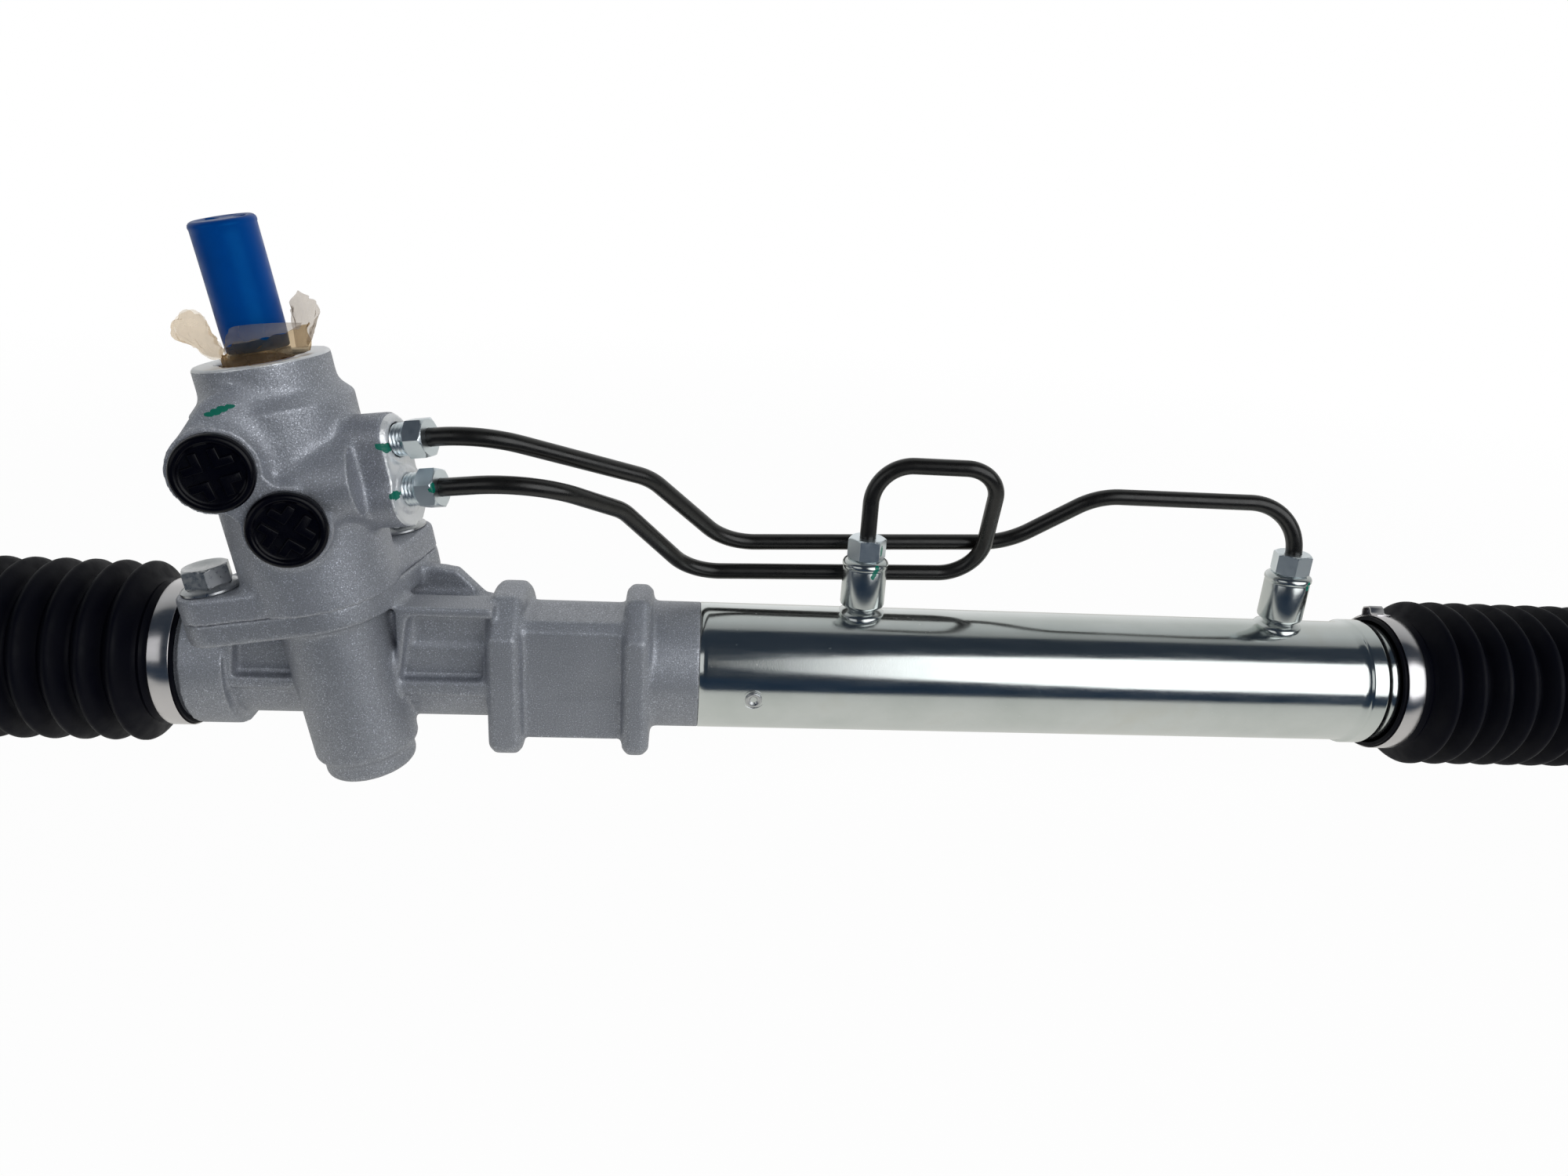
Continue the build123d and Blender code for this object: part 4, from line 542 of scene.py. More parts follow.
def make_floor(height):
    """Floor that is white to the camera with a faint shadow, and dark in front to the metal."""
    bm = bmesh.new()
    bmesh.ops.create_grid(bm, x_segments=8, y_segments=8, size=6.0)
    floor = add_object("floor", bm)
    floor.location = (0, 0, height)
    material, tree, bsdf = new_material("floor", (0.85, 0.85, 0.85), 0.0, 0.7, Specular_IOR_Level=0.1)
    vector = object_coords(tree)
    path, seen = seen_directly(tree)
    away = maths(tree, "MULTIPLY", vector_maths(tree, "LENGTH", vector)["Value"], 0.5)
    share = maths(tree, "MULTIPLY", seen, ramp(tree, away, (0.3, 0.975), (0.7, 1.0)))
    white = add_node(tree, "Emission", {"Strength": 1.0}).outputs["Emission"]
    shown = mix_shader(tree, share, bsdf.outputs["BSDF"], white)
    behind = maths(tree, "ADD", split(tree, vector)["Y"], 0.5)
    tone = ramp(
        tree, behind, (0.34, (0.015, 0.03, 0.055)), (0.37, (0.55, 0.56, 0.54)), (0.46, (0.66, 0.66, 0.63))
    )
    table = add_node(tree, "Emission", {"Color": tone}).outputs["Emission"]
    surface(tree, mix_shader(tree, path["Is Glossy Ray"], shown, table))
    floor.data.materials.append(material)


bpy.context.scene.view_settings.view_transform = "Standard"
make_camera()
make_world()
light_panel("right_panel", RIGHT_PANEL, 1.9, (0.0, 0.24))
light_panel("left_panel", LEFT_PANEL, 0.75)
make_floor(cad_box[0][2] - FLOOR_DROP)


# Frames of the parts

def moved(x=0.0, y=0.0, z=0.0, turn=0.0, axis="Z"):
    """Matrix that turns by degrees about an axis, then moves by mm."""
    return Matrix.Translation(Vector((x, y, z)) * MM) @ Matrix.Rotation(math.radians(turn), 4, axis)


def side_matrix(x, outward):
    """Matrix whose z axis runs along the rack, outwards, from a place in mm."""
    return moved(x, turn=0 if outward > 0 else 180) @ RACK_MATRIX


def direction_matrix(turn, height, reach, sideways=0.0):
    """Matrix whose z axis leaves the pinion axis at an angle from its right."""
    a = math.radians(turn)
    out = Vector((math.cos(a), math.sin(a), 0))
    side = Vector((-math.sin(a), math.cos(a), 0))
    origin = out * reach + side * sideways + Vector((0, 0, height))
    turn_matrix = Matrix((side, Vector((0, 0, 1)), out)).transposed().to_4x4()
    return PINION_MATRIX @ Matrix.Translation(origin * MM) @ turn_matrix


def hexagon_radius(flats, angle):
    sector = math.radians(60)
    return flats / 2 / math.cos((angle + sector / 2) % sector - sector / 2)


def hex_nut(name, matrix, flats, height, bore, chamfer=0.9, dish=0.0):
    """Hexagon nut with both ends chamfered, or a bolt head with a dished top."""
    corner = flats / 2 / math.cos(math.radians(30))

    def shape(radius, place, angle):
        if radius < corner:
            return radius
        near = min(place, height - place)
        limit = flats / 2 - 0.15 + near * 1.75
        return min(hexagon_radius(flats, angle), limit)

    rows = [0, 0.25, 0.5, 0.75, 1.0]
    heights = [chamfer * r for r in rows] + [height - chamfer * r for r in reversed(rows)]
    profile = [(corner + 0.1, h) for h in heights]
    if bore:
        profile = [(bore, 0)] + profile + [(bore, height)]
        return lathe(name, profile, matrix, 96, shape, True, 25)
    inner = flats / 2 - 2.2
    profile = [(0, 0)] + profile + [(inner + 1.0, height - dish * 0.1), (inner, height - dish * 0.55)]
    profile += [(inner - 1.4, height - dish), (0, height - dish)]
    return lathe(name, profile, matrix, 96, shape, False, 25)


def threaded(radius, height, pitch, depth, phase=0.0):
    """Rows and a shape function for an outside thread."""
    count = int(height / (pitch / 6))
    rows = [height * k / count for k in range(count + 1)]

    def shape(value, place, angle):
        if value < radius - depth - 0.01:
            return value
        turn = (place / pitch - angle / (2 * math.pi) + phase) % 1
        tooth = abs(turn * 2 - 1)
        return radius - depth * max(0.0, min(1.0, (tooth - 0.12) / 0.76))

    return rows, shape


def join(name, pieces):
    """One object from several."""
    bm = bmesh.new()
    for piece in pieces:
        mesh = piece.data
        mesh.transform(piece.matrix_world)
        bm.from_mesh(mesh)
        bpy.data.objects.remove(piece)
    return add_object(name, bm)


# Materials

def marks(*spots):
    """Paint spots from centres and sizes in mm."""
    return tuple((tuple(Vector(c) * MM), tuple(Vector(r) * MM)) for c, r in spots)


VALVE_MARKS = marks(
    ((-105.2, -45.6, 97.3), (1.5, 4, 0.7)), ((-103.6, -44.9, 98.0), (1.7, 4, 0.9)),
    ((-101.9, -43.9, 98.8), (1.7, 4, 0.9)), ((-100.2, -42.9, 99.4), (1.5, 4, 0.7)),
    ((-58.6, -35.4, 87.3), (2.2, 4, 1.2)), ((-57.2, -35.0, 86.9), (1.4, 4, 1.7)),
    ((-55.8, -34.4, 71.8), (1.8, 4, 1.8)),
)
STEEL_MARKS = marks(
    ((-43.4, -36.3, 74.2), (1.5, 1.5, 1.0)), ((-43.4, -36.3, 75.4), (0.9, 1.5, 1.4)),
    ((106.6, -7.7, 43.0), (1.0, 2, 1.1)), ((106.2, -7.8, 41.9), (1.0, 2, 1.2)),
    ((105.8, -7.9, 40.8), (0.9, 2, 1.2)), ((105.3, -8.0, 39.7), (0.8, 2, 1.1)),
    ((108.3, -4.4, 48.6), (0.8, 2, 2.2)), ((272.2, -6.7, 41.6), (1.1, 2, 2.0)),
)


def beyond(direction, reach):
    """Plane across a direction, at a reach in mm from the pinion's point."""
    return tuple(direction), PINION_POINT.dot(direction) + reach * MM


PORT_OUT = PINION_RIGHT * math.cos(math.radians(PORT_TURN)) + PINION_BACK * math.sin(math.radians(PORT_TURN))
GEAR_CASTING = cast_aluminium("gear_casting", (0.325, 0.34, 0.38), (0.47, 0.485, 0.53))
VALVE_CASTING = cast_aluminium(
    "valve_casting", (0.365, 0.38, 0.425), (0.50, 0.515, 0.565),
    (beyond(PINION_AXIS, 111.0), beyond(PORT_OUT, 39.3)), VALVE_MARKS,
)
TUBE_STEEL = plated_tube("plated_steel")
BOLT_STEEL = steel("bolt_steel", (0.60, 0.61, 0.62), 0.32, 700)
BEARING_STEEL = steel("bearing_steel", (0.56, 0.56, 0.57), 0.2, 500)
GROUND_STEEL = steel("ground_steel", (0.54, 0.55, 0.56), 0.16, 900, (1, 12, 12))
SHAFT_STEEL = steel("shaft_steel", (0.42, 0.42, 0.43), 0.3, 800)
NUT_STEEL = steel("nut_steel", (0.82, 0.89, 0.93), 0.3, 500, spots=STEEL_MARKS, grain=0.3)
BAND_STEEL = steel("band_steel", (0.66, 0.64, 0.65), 0.22, 300, (0.3, 1, 1), 0.06, grain=0.4)
PORT_STEEL = steel("port_steel", (0.66, 0.69, 0.68), 0.2, 420, spots=STEEL_MARKS, grain=0.25)
PISTON_STEEL = steel("piston_steel", (0.5, 0.5, 0.5), 0.3, 700)
SLEEVE_STEEL = steel("sleeve_steel", (0.36, 0.37, 0.38), 0.25, 700)
GUIDE_ALLOY = steel("guide_alloy", (0.45, 0.45, 0.46), 0.35, 600)
ROD_BLACK = painted("rod_black", (0.02, 0.02, 0.022), 0.45)
LINE_PAINT = painted("line_paint", (0.009, 0.008, 0.007), 0.3, 0.5, 0.15)
BLACK_PLASTIC = painted("black_plastic", (0.0008, 0.0008, 0.0035), 0.26, 0.18)
BLUE_PLASTIC = painted("blue_plastic", (0.0, 0.058, 0.30), 0.36, 0.35, sheen=(0.03, 0.5, 1.0))
WHITE_PLASTIC = painted("white_plastic", (0.7, 0.7, 0.66), 0.5)
RUBBER = rubber("rubber")
SEAL_RUBBER = rubber("seal_rubber", (0.015, 0.015, 0.015), 0.4)
PTFE = painted("ptfe", (0.5, 0.42, 0.3), 0.5)
FILM = film_material("film", (0.95, 0.89, 0.80), (0.86, 0.76, 0.64), 0.26)
AMBER_FILM = film_material("amber_film", (0.68, 0.54, 0.36), (0.46, 0.36, 0.23), 0.34)
GREY_FILM = film_material("grey_film", (0.80, 0.75, 0.69), (0.58, 0.53, 0.48), 0.42)
GLUE = film_material("glue", (0.62, 0.42, 0.12), (0.34, 0.19, 0.03), 0.55, 0.15)

NODE_MATERIALS = (
    (GEAR_CASTING, "gear_housing"),
    (VALVE_CASTING, "valve_housing"),
    (TUBE_STEEL, "cylinder_tube"),
    (PORT_STEEL, "cylinder_port_left cylinder_port_right"),
    (LINE_PAINT, "hydraulic_line_long hydraulic_line_looped"),
    (BLACK_PLASTIC, "pressure_port_plug return_port_plug"),
    (BLUE_PLASTIC, "shaft_cap"),
    (FILM, "film_wrap"),
    (BOLT_STEEL, "flange_bolts tube_set_pin guide_disc_springs left_boot_clip right_boot_clip"),
    (NUT_STEEL, "cylinder_nut_left cylinder_nut_right valve_nut_lower valve_nut_upper guide_lock_nut"),
    (NUT_STEEL, "left_lock_washer right_lock_washer left_jam_nut right_jam_nut"),
    (BEARING_STEEL, "pinion_lower_bearing pinion_upper_bearing valve_top_bearing"),
    (SHAFT_STEEL, "guide_plug valve_snap_ring pinion_shaft input_shaft left_ball_socket right_ball_socket"),
    (SLEEVE_STEEL, "torsion_bar valve_sleeve"),
    (GROUND_STEEL, "rack_bar"),
    (PISTON_STEEL, "piston"),
    (PTFE, "piston_ring sleeve_seal_rings"),
    (GUIDE_ALLOY, "rack_guide rack_end_bushing"),
    (SEAL_RUBBER, "valve_top_seal inner_rack_seal rack_end_seal"),
    (RUBBER, "left_boot right_boot"),
    (BAND_STEEL, "left_boot_band right_boot_band"),
    (WHITE_PLASTIC, "left_ball_seat right_ball_seat"),
    (ROD_BLACK, "left_tie_rod right_tie_rod"),
)
for material, names in NODE_MATERIALS:
    for name in names.split():
        mesh = frame["nodes"][name].data
        mesh.materials.clear()
        mesh.materials.append(material)
        mesh.polygons.foreach_set("material_index", [0] * len(mesh.polygons))


# Castings

# Radii in mm inside which the softening leaves the castings as they are
RACK_BORE, PINION_BORE, VALVE_BORE, VALVE_MOUTH = 21.3, 16.2, 14.2, 14.6


def mean_of_neighbours(points, edges, counts):
    total = np.empty_like(points)
    for axis in range(3):
        column = points[:, axis]
        total[:, axis] = np.bincount(edges[:, 0], column[edges[:, 1]], len(points))
        total[:, axis] += np.bincount(edges[:, 1], column[edges[:, 0]], len(points))
    return total / counts[:, None]


def read_vectors(mesh, name):
    values = np.empty(len(mesh.vertices) * 3, np.float32)
    mesh.vertices.foreach_get(name, values)
    return values.reshape(-1, 3).astype(float)


def write_points(mesh, points):
    mesh.vertices.foreach_set("co", points.ravel())
    mesh.update()


def soften(mesh, weights, rounding, filling):
    """Round every edge a little and fill the inner corners, as a casting's fillets do."""
    edges = np.empty(len(mesh.edges) * 2, np.int64)
    mesh.edges.foreach_get("vertices", edges)
    edges = edges.reshape(-1, 2)
    counts = np.maximum(1, np.bincount(edges.ravel(), minlength=len(mesh.vertices)))
    points = read_vectors(mesh, "co")
    rounded = np.minimum(1, weights * 4)[:, None]
    for step in range(filling):
        move = mean_of_neighbours(points, edges, counts) - points
        if step < rounding:
            points += move * 0.6 * rounded
            continue
        if step % 4 == 0 or step == rounding:
            write_points(mesh, points)
            normals = read_vectors(mesh, "normal")
        outward = np.einsum("ij,ij->i", move, normals) > 0
        points += move * (0.6 * weights * outward)[:, None]
    points += (mean_of_neighbours(points, edges, counts) - points) * 0.5 * rounded
    write_points(mesh, points)


def pinion_coords(points):
    """Rows u, v, t in mm in the pinion's axes, and the distance from its axis."""
    shifted = (points - np.array(PINION_POINT)) / MM
    u, v, t = (shifted @ np.array((PINION_RIGHT, PINION_BACK, PINION_AXIS)).T).T
    return u, v, t, np.hypot(u, v)


def near(values, target, reach):
    """1 at a target value, falling to 0 at a reach from it."""
    return np.clip(1 - np.abs(values - target) / reach, 0, 1)


def bolt_clear(u, v, t):
    """0 round the two bolt seats, 1 elsewhere."""
    clear = np.ones(len(u))
    for bolt_u, bolt_v in FLANGE_BOLT_SPOTS:
        distance = np.hypot(u - bolt_u, v - bolt_v)
        clear = np.minimum(clear, np.clip((distance - 10.2) / 4, 0.0, 1.0) + (t < 38) * (t > 25))
    return np.clip(clear, 0, 1)


def gear_weights(points):
    x, y, z = (points / MM).T
    u, v, t, around = pinion_coords(points)
    weights = np.full(len(points), 0.35)
    weights = np.maximum(weights, near(t, 24, 12) * near(around, 22, 18))
    weights = np.maximum(weights, near(x, PINION_X, 26) * 0.8)
    weights[((x > 8) & (x < 34)) | ((x > -34) & (x < -12))] = 0.22
    weights *= bolt_clear(u, v, t)
    weights[x < -132] = 0.03
    weights[t > 31.2] = 0.09
    weights[(np.hypot(y, z) < RACK_BORE) | (around < PINION_BORE) | (x > 42.5)] = 0.0
    return weights


# Flat pads of the valve housing: turn, reach, radius of a seat and the places of its seats
MACHINED_PADS = (
    (PORT_TURN, 39.6, 8.4, [(0.0, height) for height in LINE_PORTS.values()]),
    (PLUG_TURN, 28.6, 13.0, PLUG_PLACES.values()),
)


def valve_weights(points):
    u, v, t, around = pinion_coords(points)
    weights = bolt_clear(u, v, t)
    weights[t < 33.0] = 0.09
    weights[(t > 110.9) | ((t > 104) & (around < VALVE_MOUTH)) | (around < VALVE_BORE)] = 0.0
    for turn, reach, width, spots in MACHINED_PADS:
        a = math.radians(turn)
        out = u * math.cos(a) + v * math.sin(a)
        side = -u * math.sin(a) + v * math.cos(a)
        weights[out > reach] = 0.0
        for sideways, height in spots:
            tight = np.hypot(side - sideways, t - height) < width
            weights[tight & (out > reach - 1.5)] = 0.0
    return weights


def casting(name, node, voxel, weight, rounding, filling, material, pockets=(), bulges=()):
    """Cast body: the frame's solid, pocketed and built up, with its corners filled and rounded."""
    bm = bmesh.new()
    bm.from_mesh(frame["nodes"][node].data)
    bmesh.ops.remove_doubles(bm, verts=bm.verts, dist=1e-6)
    piece = add_object(name, bm)
    for pocket in pockets:
        cut_away(piece, pocket)
    piece = join(name, [piece, *bulges])
    modify(piece, "REMESH", mode="VOXEL", voxel_size=voxel, use_smooth_shade=True)
    soften(piece.data, weight(read_vectors(piece.data, "co")), rounding, filling)
    modify(piece, "DECIMATE", ratio=min(1.0, CASTING_FACES / (2 * len(piece.data.polygons))))
    piece.data.polygons.foreach_set("use_smooth", [True] * len(piece.data.polygons))
    return finish_piece(piece, "housing", material, [node])


def hull(name, points):
    """Convex body round points in mm."""
    bm = bmesh.new()
    for point in points:
        bm.verts.new(Vector(point) * MM)
    bmesh.ops.convex_hull(bm, input=bm.verts)
    bmesh.ops.recalc_face_normals(bm, faces=bm.faces)
    return add_object(name, bm)


CASTING_FACES = 110000
POCKET_FLOOR, POCKET_MOUTH = -17.4, -40
RIB_FOOT, RIB_FRONT = -16, -22.6
LEFT_POCKET = ((-117.8, 0.6), (-98.0, 0.6), (-100.0, 13.0), (-116.5, 13.0))
RIGHT_POCKET = ((-61.4, 0.6), (-33.2, 0.6), (-33.2, 22.6), (-58.0, 22.6))
# Rings round the pressure port: sideways, height, radius and reach
BULGE_RINGS = ((-18.0, 84.0, 13.0, 27.5), (-9.0, 92.0, 14.2, 20.6), (-9.0, 92.0, 14.6, 3.0))


def pocket(name, corners):
    """Recess in the front of the rack tunnel: its corners are x and z at the floor."""
    return hull(name, [(x, y, z) for x, z in corners for y in (POCKET_FLOOR, POCKET_MOUTH)])


def rib(name, xs, zs):
    return hull(name, [(x, y, z) for x in xs for y in (RIB_FOOT, RIB_FRONT) for z in zs])


def plug_bulge():
    """Round bulge that carries the pressure port up onto the head of the valve housing."""
    points = []
    for sideways, height, radius, reach in BULGE_RINGS:
        place = direction_matrix(PLUG_TURN, height, reach, sideways)
        for k in range(48):
            a = 2 * math.pi * k / 48
            points.append((place @ (Vector((radius * math.cos(a), radius * math.sin(a), 0)) * MM)) / MM)
    bore = lathe("bore", [(0, 40), (18.3, 40), (18.3, 125), (0, 125)], PINION_MATRIX, 64)
    return cut_away(hull("bulge", points), bore)


def port_foot():
    """Fuller lower end of the block that carries the lines."""
    place = direction_matrix(PORT_TURN, 64.4, 0)
    return lathe("foot", [(0, 18.6), (10.5, 18.6), (10.5, 40.0), (0, 40.0)], place, 64)


casting(
    "gear_case", "gear_housing", 0.8 * MM, gear_weights, 3, 26, GEAR_CASTING,
    [pocket("left_pocket", LEFT_POCKET), pocket("right_pocket", RIGHT_POCKET)],
    [rib("left_rib", (-121.6, -98), (-3.0, 0.6)), rib("left_post", (-121.6, -118), (-3.0, 16.0)),
     rib("right_rib", (-64, -30), (-5.0, 0.6))],
)
casting(
    "valve_case", "valve_housing", 0.65 * MM, valve_weights, 4, 46, VALVE_CASTING,
    bulges=[plug_bulge(), port_foot()],
)


# Cylinder tube and its ports

TUBE_START, TUBE_END = 43.4, 322.0
TUBE_RADIUS = 23.5
TUBE_WALL = 2.5
BULGE_X, BULGE_LENGTH, BULGE_HEIGHT = 297.2, 7.6, 1.0
PORTS = {"left": (103.5, 31.0), "right": (267.7, 48.0)}
PORT_TOP = 44.5
LINE_RADIUS = 3.0
NUT_BORE = 3.05


def tube_profile():
    outer = [(TUBE_RADIUS - 0.12, TUBE_START), (TUBE_RADIUS, TUBE_START + 0.12)]
    outer += [(TUBE_RADIUS, TUBE_START + 3 + k * (BULGE_X - TUBE_START - 6) / 40) for k in range(41)]
    for k in range(17):
        share = k / 16
        lift = BULGE_HEIGHT * min(1, 2.6 * math.sin(math.pi * share)) if 0 < k < 16 else 0
        outer.append((TUBE_RADIUS + lift, BULGE_X + BULGE_LENGTH * share))
    outer += [(TUBE_RADIUS, BULGE_X + BULGE_LENGTH + 2), (TUBE_RADIUS, TUBE_END - 1)]
    inner = TUBE_RADIUS - TUBE_WALL
    return outer + [(TUBE_RADIUS - 0.7, TUBE_END), (inner, TUBE_END), (inner, TUBE_START)]


cylinder = lathe("cylinder", tube_profile(), side_matrix(0, 1), 160, None, True, 50)
finish_piece(cylinder, "housing", TUBE_STEEL, ["cylinder_tube"])

PIN_PROFILE = [
    (0, 23.3), (0.8, 23.2), (1.3, 23.6), (1.9, 24.1), (2.5, 24.2), (2.9, 24.05), (3.1, 23.7), (3.1, 23.2),
    (3.7, 23.3), (3.9, 23.45), (3.9, 22.4), (0, 22.4),
]
set_pin = lathe("set_pin", PIN_PROFILE, moved(63.2, turn=98, axis="X"), 48, None, False, 60)
finish_piece(set_pin, "housing", BOLT_STEEL, ["tube_set_pin"])

PORT_PROFILE = [
    (8.8, 21.8), (8.8, 22.9), (8.4, 23.6), (7.4, 24.3), (6.6, 24.8), (6.3, 25.2), (6.5, 25.7), (7.4, 26.1),
    (8.0, 26.6), (8.2, 27.3), (8.2, 40.9), (8.05, 41.3), (8.15, 41.7), (8.5, 42.1), (8.5, 42.9), (8.2, 43.6),
    (7.5, 44.2), (6.6, PORT_TOP), (4.0, PORT_TOP), (4.0, 21.8),
]
BRAZE_TOP = 24.8


def port_wobble(radius, height, angle):
    """The braze at a port's foot follows the round of the tube and runs unevenly."""
    if height > BRAZE_TOP or radius < 4.1:
        return radius
    return radius + 0.3 * math.sin(3 * angle + 1) * (BRAZE_TOP - height) / 3


for name, (x, turn) in PORTS.items():
    port = lathe("port_" + name, PORT_PROFILE, moved(x), 72, port_wobble, True, 40)
    finish_piece(port, "housing", PORT_STEEL, ["cylinder_port_" + name])
    nut = hex_nut("port_nut_" + name, moved(x, 0, PORT_TOP, turn), 12.4, 8.0, NUT_BORE)
    finish_piece(nut, "housing", NUT_STEEL, ["cylinder_nut_" + name])


# Transfer lines and their nuts at the valve

LINE_NUT_TURNS = {"lower": 8.0, "upper": 24.0}
LONG_BENDS = [(24, -6, 73), (52, 15, 44), (160, 15, 48), (190, 6, 70)]
LONG_RADII = [30, 26, 22, 30, 26, 20]
LOOPED_BENDS = [(15, -13, 63), (39, 12, 33), (149.5, 12, 36), (149, -5, 81)]
LOOPED_RADII = [30, 22, 20, 16, 12, 15]


def line_piece(name, level, run, bends, radii, side, top):
    """Line from a port of the valve along its bends, then down into a cylinder port."""
    out = direction_matrix(PORT_TURN, LINE_PORTS[level], 0)
    ends = [(out @ Vector((0, 0, reach * MM))) / MM for reach in (41.8, 51.8 + run)]
    x = PORTS[side][0]
    points = [*ends, *bends, (x, 0, top), (x, 0, 43)]
    piece = tube_mesh("line_" + name, fillet_path(points, radii), LINE_RADIUS)
    finish_piece(piece, "housing", LINE_PAINT, ["hydraulic_line_" + name])


line_piece("long", "upper", 17, LONG_BENDS, LONG_RADII, "right", 71.5)
line_piece("looped", "lower", 31, LOOPED_BENDS, LOOPED_RADII, "left", 80)

for name, height in LINE_PORTS.items():
    rows, shape = threaded(5.4, 4.9, 1.25, 0.55)
    profile = [(NUT_BORE, 0)] + [(5.4, row) for row in rows] + [(NUT_BORE, 4.9)]
    shank = lathe("shank", profile, direction_matrix(PORT_TURN, height, 40.6), 72, shape, True, 70)
    place = direction_matrix(PORT_TURN, height, 45.2) @ moved(turn=LINE_NUT_TURNS[name])
    body = hex_nut("body", place, 12.0, 6.6, NUT_BORE)
    nut = smooth(join("line_nut_" + name, [shank, body]), 28)
    finish_piece(nut, "housing", NUT_STEEL, ["valve_nut_" + name])


# Flange bolts

BOLT_TURNS = (20.0535, 63.0254)
BOLT_RIM = [
    (0, 0), (9.0, 0), (9.4, 0.3), (9.35, 1.0), (8.9, 1.45), (8.0, 1.9), (7.3, 2.4), (6.6, 2.8), (0, 2.8),
]


def flange_bolt(u, v, turn):
    place = PINION_MATRIX @ moved(u, v, FLANGE_TOP, turn)
    head = hex_nut("head", place @ moved(z=1.8), 14.0, 6.7, 0, 1.0, 1.1)
    shank = lathe("shank", [(0, -15), (4.9, -15), (4.9, 0.4), (0, 0.4)], place, 36)
    return join("bolt", [lathe("rim", BOLT_RIM, place, 72), head, shank])


bolts = [flange_bolt(u, v, turn) for (u, v), turn in zip(FLANGE_BOLT_SPOTS, BOLT_TURNS)]
finish_piece(smooth(join("bolts", bolts), 28), "housing", BOLT_STEEL, ["flange_bolts"])


# Port plugs

PLUG_PROFILE = [
    (0, -8), (7.9, -8), (7.9, 0), (11.7, 0), (12.0, 0.35), (12.0, 2.9), (11.8, 3.6), (11.3, 4.2),
    (10.6, 4.5), (9.9, 4.45), (9.5, 4.1), (9.25, 3.75), (8.6, 3.6), (0, 3.6),
]
PLUG_REACH = 29.0
# Corners of one of the four bent ribs inside a plug, and its foot and top
RIB_OUTLINE = ((1.5, 1.5), (7.4, 1.5), (7.4, 4.0), (4.0, 4.0), (4.0, 7.4), (1.5, 7.4))
RIB_HEIGHTS = (3.5, 4.75)


def port_plug(name, cross_turn):
    sideways, height = PLUG_PLACES[name]
    place = direction_matrix(PLUG_TURN, height, PLUG_REACH, sideways)
    pieces = [lathe("cup", PLUG_PROFILE, place, 96, None, False, 60)]
    for quarter in range(4):
        turned = place @ moved(turn=cross_turn + 90 * quarter)
        rings = [[turned @ (Vector((x, y, z)) * MM) for x, y in RIB_OUTLINE] for z in RIB_HEIGHTS]
        pieces.append(bevel(loft("rib", rings), 0.28 * MM, 3))
    plug = smooth(join("plug_" + name, pieces), 50)
    finish_piece(plug, "housing", BLACK_PLASTIC, [name + "_port_plug"])


port_plug("pressure", 8.0)
port_plug("return", 45.0)


# Shaft cap

CAP_FOOT, CAP_TOP = 114.5, 151.4
CAP_BORE = 8.7
CAP_OUTSIDE = [(9.6, CAP_FOOT), (10.0, 114.9)] + [(10.0, 116 + k * 35 / 20) for k in range(21)] + [
    (10.15, CAP_TOP), (10.18, 151.9), (10.0, 152.5), (9.55, 153.0), (8.9, 153.3), (8.2, 153.25), (7.4, 153.0),
    (6.8, 152.9), (0, 152.9),
]
CAP_INSIDE = [(0, CAP_TOP), (8.5, CAP_TOP), (CAP_BORE, 151.0), (CAP_BORE, CAP_FOOT)]


def cap_wobble(radius, height, angle):
    """Soft cap pinched a little at its foot."""
    pinch = max(0.0, (124 - height) / 10)
    return radius * (1 - 0.045 * min(1, pinch) ** 2)


def shaft_cap():
    cap = lathe("cap", CAP_OUTSIDE + CAP_INSIDE, PINION_MATRIX, 96, cap_wobble, False, 50)
    bm = bmesh.new()
    bm.from_mesh(cap.data)
    bmesh.ops.holes_fill(bm, edges=[e for e in bm.edges if e.is_boundary], sides=0)
    rim = [e for e in bm.edges if e.is_boundary]
    if rim:
        bmesh.ops.bridge_loops(bm, edges=rim)
    bm.to_mesh(cap.data)
    bm.free()
    return smooth(cap, 50)


def lean(piece):
    """Slims the outside of the cap a little, bends its upper part to the front and tilts its top."""
    place = PINION_MATRIX.inverted()
    for vert in piece.data.vertices:
        u, v, t = (place @ vert.co) / MM
        rise = max(0.0, t - 118)
        if math.hypot(u, v) > 8.8 or t > 151.9:
            bent = Vector((u * 0.975, v - 0.0008 * rise ** 2, t + (0.0026 * v + 0.03) * rise))
            vert.co = PINION_MATRIX @ (bent * MM)
    return piece


cap = lean(shaft_cap())
for u, v, turn in ((-4.4, 3.4, 22.9183), (4.0, 3.2, -22.9183)):
    place = PINION_MATRIX @ moved(u, v, 150.8, turn) @ Matrix.Diagonal((2.1, 1.5, 1, 1))
    cut_away(cap, lathe("slot", [(0, 0), (1.0, 0), (1.0, 6), (0, 6)], place, 32))
finish_piece(smooth(cap, 50), "input", BLUE_PLASTIC, ["shaft_cap"])


# Boots, bands and clips

CREST_RADIUS, ROOT_RADIUS = 32.4, 27.2
BOOT_PITCH, BOOT_FOLDS = 10.3, 12
CUFF_LENGTH, TAIL_LENGTH, SMALL_LENGTH = 12.0, 26.0, 11.0
CUFF_RADIUS, SMALL_RADIUS = 25.8, 8.6
WALL = 1.4
BELLOWS = CUFF_LENGTH + BOOT_FOLDS * BOOT_PITCH
FIRST_SPLIT = CUFF_LENGTH + 9 * BOOT_PITCH
SECOND_SPLIT = BELLOWS + 4.0
BOOT_END = BELLOWS + TAIL_LENGTH + SMALL_LENGTH


